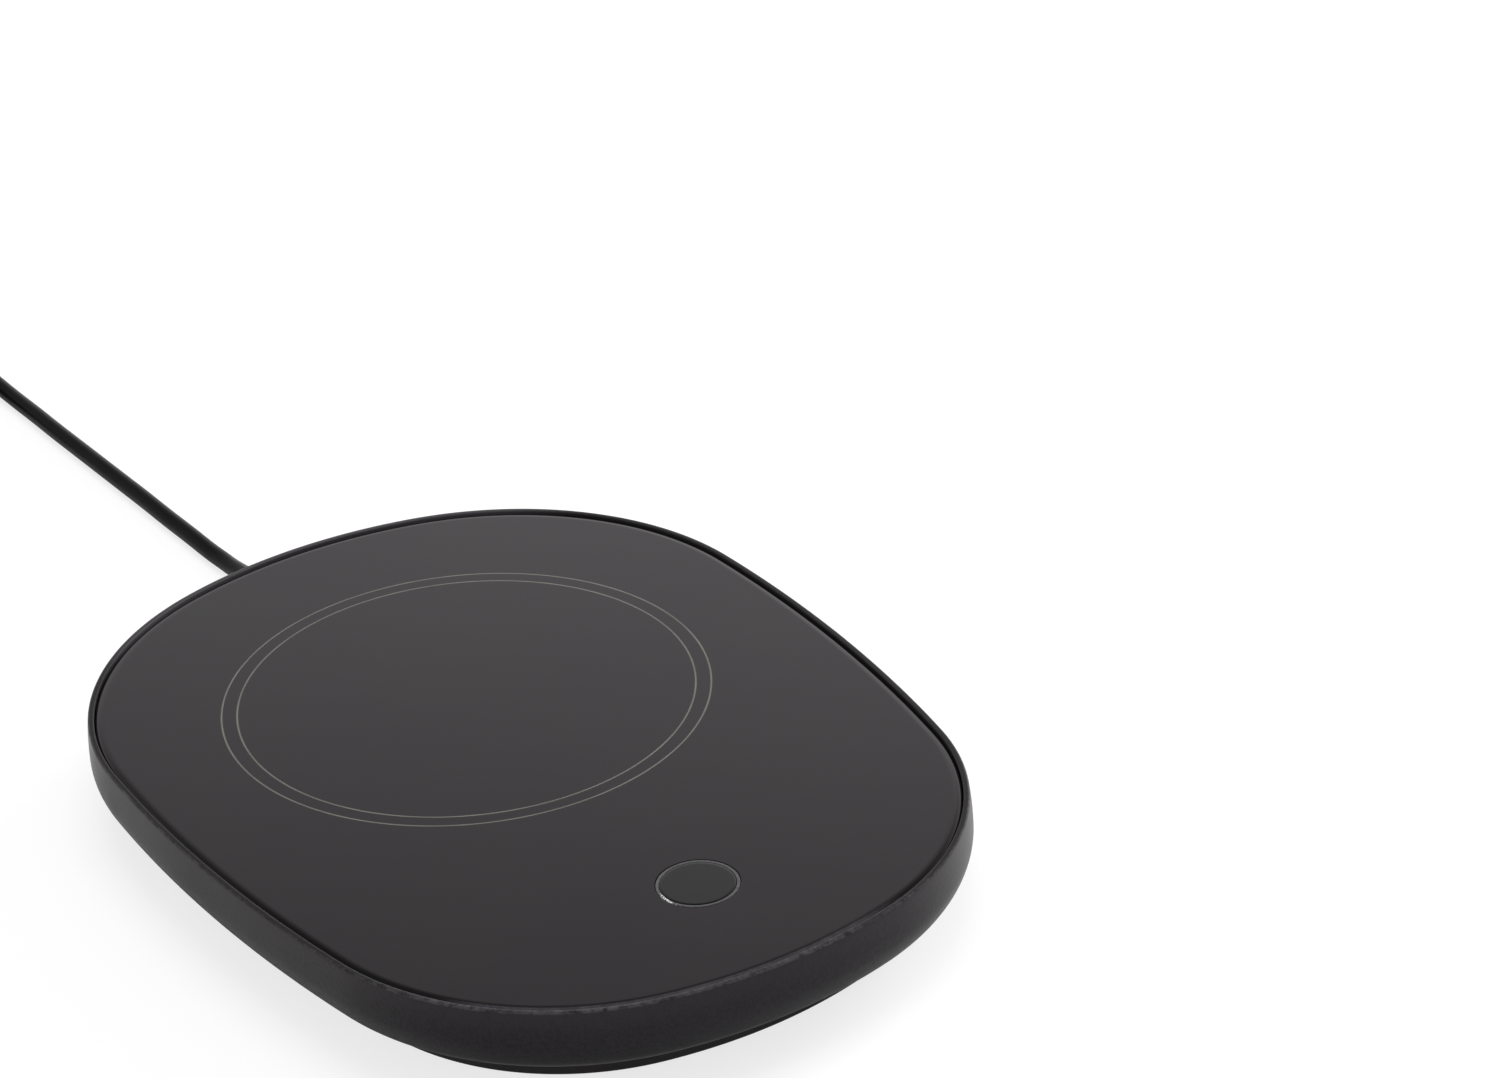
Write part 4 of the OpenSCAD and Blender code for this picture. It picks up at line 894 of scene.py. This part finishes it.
def strain_relief():
    """Flange inside the wall, straight stretch through it, then a ribbed tail that narrows to the lead."""
    bm = bmesh.new()
    path, radii = [], []
    front, back = RELIEF_FLANGE_Y
    for y, r in ((front, RELIEF_FLANGE_R - 0.2), (front + 0.2, RELIEF_FLANGE_R),
                 (back - 0.2, RELIEF_FLANGE_R), (back, RELIEF_FLANGE_R - 0.2),
                 (back + 0.02, RELIEF_R), (EXIT_Y - 1.0, RELIEF_R)):
        path.append(Vector((0, y, RELIEF_Z)))
        radii.append(r)
    tail = catmull(from_exit(RELIEF_ROUTE), 16)
    last = len(tail) - 1
    for i, p in enumerate(tail):
        path.append(p)
        radii.append(ribbed_radius(i / last, RELIEF_R, RELIEF_TIP_R, (7, 0.16, 0.42), (0.035, 0.25)))
    sweep(bm, path, radii, 40)
    return piece("strain_relief_tail", bm, math.radians(50))


def coil_tie():
    """A flat strap once around the coil, its end lapped over itself."""
    coil_y = COIL_AT[1] + EXIT_Y
    near, far = coil_y + COIL_IN_R - CORD_R - 0.33, coil_y + COIL_R + CORD_R + 0.05
    low, high = COIL_LOW_Z - CORD_R, COIL_HIGH_Z + CORD_R + 0.05
    strap, width, r = 0.38, 5.0, 1.5
    middle = ((near + far) / 2, (low + high) / 2)
    section = [(-1.0, 0.08), (-0.94, 0.0), (0.94, 0.0), (1.0, 0.08),
               (1.0, strap - 0.08), (0.94, strap), (-0.94, strap), (-1.0, strap - 0.08)]
    bm = bmesh.new()
    rings = []
    for side, out in section:
        x = COIL_AT[0] + side * width / 2
        loop = round_rectangle(middle, (far - near) / 2 + out, (high - low) / 2 + out, r + out)
        rings.append(ring(bm, [(x, y, z) for y, z in loop]))
    loft(bm, rings + rings[:1])
    lap(bm, COIL_AT[0], width - 0.3, (near + 4.63, far - 2.85), high + strap + 0.01, 0.3)
    return piece("coil_strap", bm)


def lap(bm, x, width, span, z, thick):
    """The strap's free end: a thin strip with rounded corners that lies on the turn below."""
    plan = round_rectangle((x, sum(span) / 2), width / 2, (span[1] - span[0]) / 2, 1.2, 6)
    capped(bm, [ring(bm, plan, z), ring(bm, plan, z + thick)])


def plug_section(half_w, half_t, r, y):
    """A rounded rectangle across the plug at one place along it."""
    r = min(r, half_w - 0.01, half_t - 0.01)
    return [(x, y, z) for x, z in round_rectangle((PLUG_AT[0], PLUG_AT[2]), half_w, half_t, r)]


def plug_body():
    """Moulded plug: a rounded body with grip ridges on its sides, and a ribbed boot."""
    bm = bmesh.new()
    tip_y = PLUG_AT[1] + EXIT_Y
    shoulder_y = tip_y - BOOT_L
    face_y = shoulder_y - PLUG_L
    rows = [(0.0, 0.9), (0.12, 0.4), (0.35, 0.12), (0.8, 0.0)]
    rows += [(1.5 + 0.25 * i, 0.0) for i in range(68)]
    rows += [(19.0, 0.15), (20.2, 0.6), (21.2, 1.3), (22.0, 2.2), (22.6, 3.3), (PLUG_L, 4.6)]
    rings = []
    for along, inset in rows:
        taper = 0.9 * max(0.0, (along - 5.0) / (PLUG_L - 5.0)) ** 2
        ridge = 0.5 - 0.5 * math.cos(2 * math.pi * (along - 6.0) / 2.4) if 6.0 < along < 18.0 else 0.0
        half_w = PLUG_W / 2 - inset - taper - 0.45 * ridge
        half_t = PLUG_T / 2 - 0.8 * inset
        rings.append(ring(bm, plug_section(half_w, half_t, 4.0, face_y + along)))
    capped(bm, rings)
    path, radii = [], []
    steps = 96
    for i in range(steps + 1):
        share = i / steps
        path.append(Vector((PLUG_AT[0], shoulder_y - 0.6 + (BOOT_L + 0.6) * share, PLUG_AT[2])))
        radii.append(ribbed_radius(share, BOOT_R, BOOT_TIP_R, (5, 0.12, 0.4), (0.04, 0.2)))
    sweep(bm, path, radii, 36)
    return piece("plug_moulding", bm, math.radians(50))


def plug_blades():
    """Two flat blades with eased tips and a round hole in each."""
    bm = bmesh.new()
    face_y = PLUG_AT[1] + EXIT_Y - BOOT_L - PLUG_L
    tip_y = face_y - BLADE_OUT
    half, ease, edge = BLADE_W / 2, 1.3, 0.25
    for side in (-1, 1):
        x = PLUG_AT[0] + side * BLADE_PITCH / 2
        plan = [(face_y + BLADE_IN, -half), (face_y + BLADE_IN, half), (tip_y + ease, half),
                (tip_y + 0.3, half - ease * 0.75), (tip_y, half - ease - 0.5),
                (tip_y, -half + ease + 0.5), (tip_y + 0.3, -half + ease * 0.75), (tip_y + ease, -half)]
        hole_at = tip_y + BLADE_HOLE_IN
        hole = circle((hole_at, 0), BLADE_HOLE_R, 32)
        outer, inner = [], []
        for depth, grow in ((-1.0, edge), (-0.7, 0.0), (0.7, 0.0), (1.0, edge)):
            px = x + depth * BLADE_T / 2
            outer.append(ring(bm, [blade_point(px, p, grow, hole_at) for p in plan]))
            inner.append(ring(bm, [blade_point(px, p, -grow * 0.6, hole_at) for p in hole]))
        loft(bm, outer)
        loft(bm, inner)
        fill(bm, outer[0], inner[0])
        fill(bm, outer[-1], inner[-1])
    return piece("plug_prongs", bm)


def blade_point(x, place, shrink, middle_y):
    """A point of a blade's outline or hole, drawn in towards the middle of the hole."""
    y, z = place
    reach = math.hypot(y - middle_y, z)
    scale = max(0.0, 1 - shrink / max(reach, 0.1))
    return (x, middle_y + (y - middle_y) * scale, PLUG_AT[2] + z * scale)


# --- pieces of the body ---


def node_middle(name):
    """Middle of a CAD node in plan, in millimetres."""
    low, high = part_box(name)
    return ((low.x + high.x) / 2 / MM, (low.y + high.y) / 2 / MM)


def wall_profile():
    """The housing's section from the seam's inner edge, up the outside and down inside the rim."""
    profile = [(LIP_RECESS_IN, SEAM_Z)]
    rise = BULGE_Z - SEAM_Z
    profile += [(TUCK - BULGE + 0.25, SEAM_Z), (TUCK - BULGE + 0.08, SEAM_Z + 0.04)]
    for i in range(1, 29):
        a = math.pi / 2 * (1 - i / 28)
        inset = -BULGE + TUCK * (1 - math.cos(a))
        profile.append((min(inset, TUCK - BULGE), BULGE_Z - rise * math.sin(a)))
    top = RIM_Z - BULGE_Z - RIM_EDGE
    for i in range(1, 13):
        t = top * i / 12 / (RIM_Z - BULGE_Z)
        profile.append((-BULGE * (1 - t * t), BULGE_Z + top * i / 12))
    start = profile[-1]
    profile += rounded(start, (RIM_EDGE + 0.05, RIM_Z), (start[0] + 0.06, RIM_Z), 7)[1:]
    profile += rounded((RIM_W - 0.22, RIM_Z), (RIM_W, RIM_Z - 0.22), (RIM_W, RIM_Z), 4)
    profile += [(RIM_W, GLASS_Z - 1.0), (RIM_W, DECK_TOP_Z)]
    return profile


def room_profile():
    """The housing's section inside, from under the deck down to the seam."""
    profile = [(ROOM_IN, DECK_Z)]
    drop = BULGE_Z - ROOM_Z
    for i in range(1, 9):
        a = math.pi / 2 * i / 8
        profile.append((ROOM_IN + TUCK * (1 - math.cos(a)), BULGE_Z - drop * math.sin(a)))
    profile.append((LIP_RECESS_IN, SEAM_Z))
    return profile


def bore(bm, at, rows, count=CIRCLE_POINTS):
    """The wall of a stepped round hole, from its mouth on; returns its first and last ring."""
    rings = [ring(bm, circle(at, r, count), z) for r, z in rows]
    loft(bm, rings)
    return rings[0], rings[-1]


def boss(bm, at, low, depth):
    """A boss that hangs from the deck, with a blind bore from below."""
    top = DECK_Z + 0.3
    edge = 0.2
    profile = [
        (BOSS_BORE_R, low), (BOSS_R - edge, low), (BOSS_R, low + edge), (BOSS_R, top), (0, top),
        (0, low + depth), (BOSS_BORE_R, low + depth),
    ]
    spin(bm, at, profile, 32)


def relief_cutter(name, start_y):
    """A rod around the strain relief's middle line, from inside the wall to well past it."""
    bm = bmesh.new()
    r = RELIEF_R + RELIEF_GAP
    sweep(bm, [Vector((0, start_y, RELIEF_Z)), Vector((0, EXIT_Y + 9.0, RELIEF_Z))], [r, r], 48)
    return piece(name, bm)


def housing(bosses):
    """Wall, rim and deck with its openings, and the bosses under it."""
    bm = bmesh.new()
    wall = [ring(bm, outline(inset), z) for inset, z in wall_profile()]
    loft(bm, wall)
    room = [ring(bm, outline(inset), z) for inset, z in room_profile()[:-1]]
    loft(bm, room + [wall[0]])
    holes = []
    for z in (DECK_TOP_Z, DECK_Z):
        heater = ring(bm, circle((0, HEATER_Y), OPENING_R, 160), z)
        button = ring(bm, circle((0, BUTTON_Y), DECK_HOLE_R), z)
        holes.append((heater, button))
    for top, low in zip(*holes):
        band(bm, top, low)
    fill(bm, wall[-1], *holes[0])
    fill(bm, room[0], *holes[1])
    made = piece("housing_shell", bm)
    cut(made, relief_cutter("relief_notch", RELIEF_FLANGE_Y[0] - 0.15))
    joined = bmesh.new()
    joined.from_mesh(made.data)
    for at, low, depth in bosses:
        boss(joined, at, low, depth)
    made.data.clear_geometry()
    bmesh.ops.recalc_face_normals(joined, faces=joined.faces)
    joined.to_mesh(made.data)
    joined.free()
    made.data.polygons.foreach_set("use_smooth", [True] * len(made.data.polygons))
    made.data.set_sharp_from_angle(angle=SHARP_ANGLE)
    flat_faces_first(made)
    return made


def base_profile():
    """The base cover's section, from inside its lip, down the wall and around its lower edge."""
    profile = [
        (POCKET_IN, FLOOR_Z), (POCKET_IN, LIP_Z - 0.2), (POCKET_IN - 0.2, LIP_Z),
        (LIP_IN + 0.3, LIP_Z), (LIP_IN, LIP_Z - 0.3), (LIP_IN, SEAM_Z),
        (BASE_IN + 0.2, SEAM_Z), (BASE_IN + 0.02, SEAM_Z - 0.2),
    ]
    for i in range(1, 9):
        z = SEAM_Z - 0.2 - (SEAM_Z - 0.2 - BASE_Z - 0.6) * i / 8
        profile.append((BASE_IN + BASE_TAPER / 2 * (SEAM_Z - z) / (SEAM_Z - BASE_Z - 0.6), z))
    start = profile[-1]
    return profile + rounded(start, (BASE_IN + BASE_TAPER, BASE_Z), (start[0] + 0.25, BASE_Z + 0.1))[1:]


def base_cover(screw_places, foot_places):
    """Tray with its lip, screw wells, foot recesses and vent slots."""
    bm = bmesh.new()
    side = [ring(bm, outline(inset), z) for inset, z in base_profile()]
    loft(bm, side)
    under, inside = [], []
    edge, gap = 0.15, 0.1
    well = [(HEAD_HOLE_R + edge, BASE_Z), (HEAD_HOLE_R, BASE_Z + edge), (HEAD_HOLE_R, WELL_Z),
            (SCREW_HOLE_R, WELL_Z), (SCREW_HOLE_R, FLOOR_Z)]
    for at in screw_places:
        mouth, high = bore(bm, at, well, 40)
        under.append(mouth)
        inside.append(high)
    recess = [(FOOT_R + 2 * gap, BASE_Z), (FOOT_R + gap, BASE_Z + gap), (FOOT_R + gap, WELL_Z)]
    for at in foot_places:
        mouth, roof = bore(bm, at, recess, 64)
        bm.faces.new(roof)
        under.append(mouth)
    for i in range(VENTS):
        x = (i - (VENTS - 1) / 2) * VENT_PITCH
        mouth = ring(bm, slot_outline(x, HEATER_Y, VENT_W + 2 * edge, VENT_L + 2 * edge), BASE_Z)
        low = ring(bm, slot_outline(x, HEATER_Y, VENT_W, VENT_L), BASE_Z + edge)
        high = ring(bm, slot_outline(x, HEATER_Y, VENT_W, VENT_L), FLOOR_Z)
        loft(bm, [mouth, low, high])
        under.append(mouth)
        inside.append(high)
    fill(bm, side[-1], *under)
    fill(bm, side[0], *inside)
    made = piece("base_shell", bm)
    cut(made, relief_cutter("base_notch", RELIEF_FLANGE_Y[0] - 1.75))
    flat_faces_first(made)
    return made


def glass():
    """The glass plate: a ground round edge and the button's hole."""
    bm = bmesh.new()
    rows = rounded((GLASS_IN + GLASS_EDGE, GLASS_Z), (GLASS_IN, GLASS_Z - GLASS_EDGE_DROP),
                   (GLASS_IN + 0.25, GLASS_Z), 12)
    rows += [(GLASS_IN, GLASS_UNDER_Z + 0.2), (GLASS_IN + 0.2, GLASS_UNDER_Z)]
    side = [ring(bm, outline(inset), z) for inset, z in rows]
    loft(bm, side)
    edge = 0.12
    mouth, low = bore(bm, (0, BUTTON_Y), [
        (GLASS_HOLE_R + edge, GLASS_Z), (GLASS_HOLE_R + edge / 3, GLASS_Z - edge / 3),
        (GLASS_HOLE_R, GLASS_Z - edge), (GLASS_HOLE_R, GLASS_UNDER_Z),
    ])
    fill(bm, side[0], mouth)
    fill(bm, side[-1], low)
    made = piece("glass_plate", bm)
    flat_faces_first(made)
    return made


def light_ring():
    """Clear ring flush with the glass, with its collar and flange below."""
    bm = bmesh.new()
    inner, outer, collar, flange = 5.95, 6.45, 7.65, 9.0
    low = DECK_Z - 1.6
    soft = 0.06
    profile = [
        (inner, low), (inner, GLASS_Z - soft), (inner + soft, GLASS_Z), (outer - soft, GLASS_Z),
        (outer, GLASS_Z - soft), (outer, DECK_TOP_Z), (collar, DECK_TOP_Z), (collar, DECK_Z),
        (flange - 0.1, DECK_Z), (flange, DECK_Z - 0.1), (flange, low + 0.1), (flange - 0.1, low),
    ]
    spin(bm, (0, BUTTON_Y), profile, 128)
    return piece("light_ring", bm)


def button():
    """The cap with its eased edge, skirt, stop flange and stem."""
    bm = bmesh.new()
    r, skirt, stop, stem = 5.87, 4.67, 6.92, 1.8
    low, stop_z, roof = 9.3, 10.35, GLASS_Z - 1.5
    profile = [(0, GLASS_Z), (r - 0.5, GLASS_Z)]
    profile += rounded((r - 0.16, GLASS_Z), (r, GLASS_Z - 0.16), (r, GLASS_Z), 4)
    profile += [
        (r, stop_z), (stop - 0.1, stop_z), (stop, stop_z - 0.1), (stop, low + 0.1), (stop - 0.1, low),
        (skirt, low), (skirt, roof), (stem, roof), (stem, low + 0.15), (stem - 0.15, low), (0, low),
    ]
    spin(bm, (0, BUTTON_Y), profile)
    made = piece("button_cap", bm)
    flat_faces_first(made)
    return made


def foot(name, node):
    """A rubber foot with a shallow dish under it."""
    low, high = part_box(node)
    r = (high.x - low.x) / 2 / MM
    top = high.z / MM
    profile = [
        (0, 0.3), (1.9, 0.3), (2.15, 0.05), (2.4, 0.0), (r - 0.75, 0.0), (r - 0.5, 0.1), (r - 0.4, 0.35),
        (r - 0.1, 0.42), (r, 0.55), (r, top - 0.1), (r - 0.1, top), (0, top),
    ]
    bm = bmesh.new()
    spin(bm, node_middle(node), profile, 64)
    return piece(name, bm)


# --- putting it together ---


def dress(obj, finishes, slot, body, *nodes):
    """Gives a piece its slot's material, and lets it ride on its body in place of its CAD nodes."""
    obj.data.materials.clear()
    obj.data.materials.append(finishes[slot])
    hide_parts(*nodes)
    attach(obj, body)


def screw_middles(node, head_r=2.2):
    """The middles in plan of the screws that one CAD node holds."""
    found = []
    for v in node.data.vertices:
        x, y = v.co.x / MM, v.co.y / MM
        for group in found:
            if math.hypot(group[0] - x, group[1] - y) < 2.5 * head_r:
                group[2:] = [min(group[2], x), max(group[3], x), min(group[4], y), max(group[5], y)]
                break
        else:
            found.append([x, y, x, x, y, y])
    return [((g[2] + g[3]) / 2, (g[4] + g[5]) / 2) for g in found]


def clear_materials(objects):
    """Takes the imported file's plain materials off, and out of the scene."""
    for obj in objects:
        obj.data.materials.clear()
    for plain in list(bpy.data.materials):
        bpy.data.materials.remove(plain)


def dress_lead(finishes):
    """The lead with its relief, coil strap and plug."""
    lead = make_cord()
    dress(lead, finishes, "cord_black", "body", "power_cord", "cord_coil", "cord_tail")
    relief = strain_relief()
    dress(relief, finishes, "cord_black", "body", "strain_relief")
    tie = coil_tie()
    dress(tie, finishes, "tie_black", "body", "coil_tie")
    plug = plug_body()
    dress(plug, finishes, "plug_black", "body", "plug_body")
    prongs = plug_blades()
    dress(prongs, finishes, "blade_brass", "body", "plug_blades")


def dress_body(finishes, nodes):
    """The housing, base cover, glass, light ring, button and feet."""
    bosses = [(at, *BOSSES[name]) for name in BOSSES for at in screw_middles(nodes[name])]
    dress(housing(bosses), finishes, "housing_plastic", "body", "upper_housing")
    feet = ["foot_front_left", "foot_front_right", "foot_back_left", "foot_back_right"]
    cover = base_cover(screw_middles(nodes["housing_screws"]), [node_middle(n) for n in feet])
    dress(cover, finishes, "base_plastic", "body", "base_cover")
    dress(glass(), finishes, "top_glass", "body", "glass_top")
    dress(light_ring(), finishes, "light_guide", "body", "button_light_ring")
    dress(button(), finishes, "button_gloss", "button", "power_button")
    for name in feet:
        dress(foot(name.replace("foot", "rubber_foot"), name), finishes, "foot_rubber", "body", name)


def dress_nodes(finishes, frame):
    """A material and smooth faces for every CAD node."""
    slots = {s["node"]: s["material_slot"] for s in frame["record"]["subparts"]}
    for name, node in frame["nodes"].items():
        node.data.materials.append(finishes[slots[name]])
        node.data.polygons.foreach_set("use_smooth", [True] * len(node.data.polygons))
        node.data.set_sharp_from_angle(angle=SHARP_ANGLE)


def main():
    """Builds the whole scene."""
    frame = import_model()
    bpy.context.scene.view_settings.view_transform = "Standard"
    make_camera()
    clear_materials(frame["nodes"].values())
    finishes = all_finishes()
    dress_lead(finishes)
    dress_body(finishes, frame["nodes"])
    dress_nodes(finishes, frame)
    make_floor()
    make_world()
    make_lamps()
    bpy.context.view_layer.update()


main()
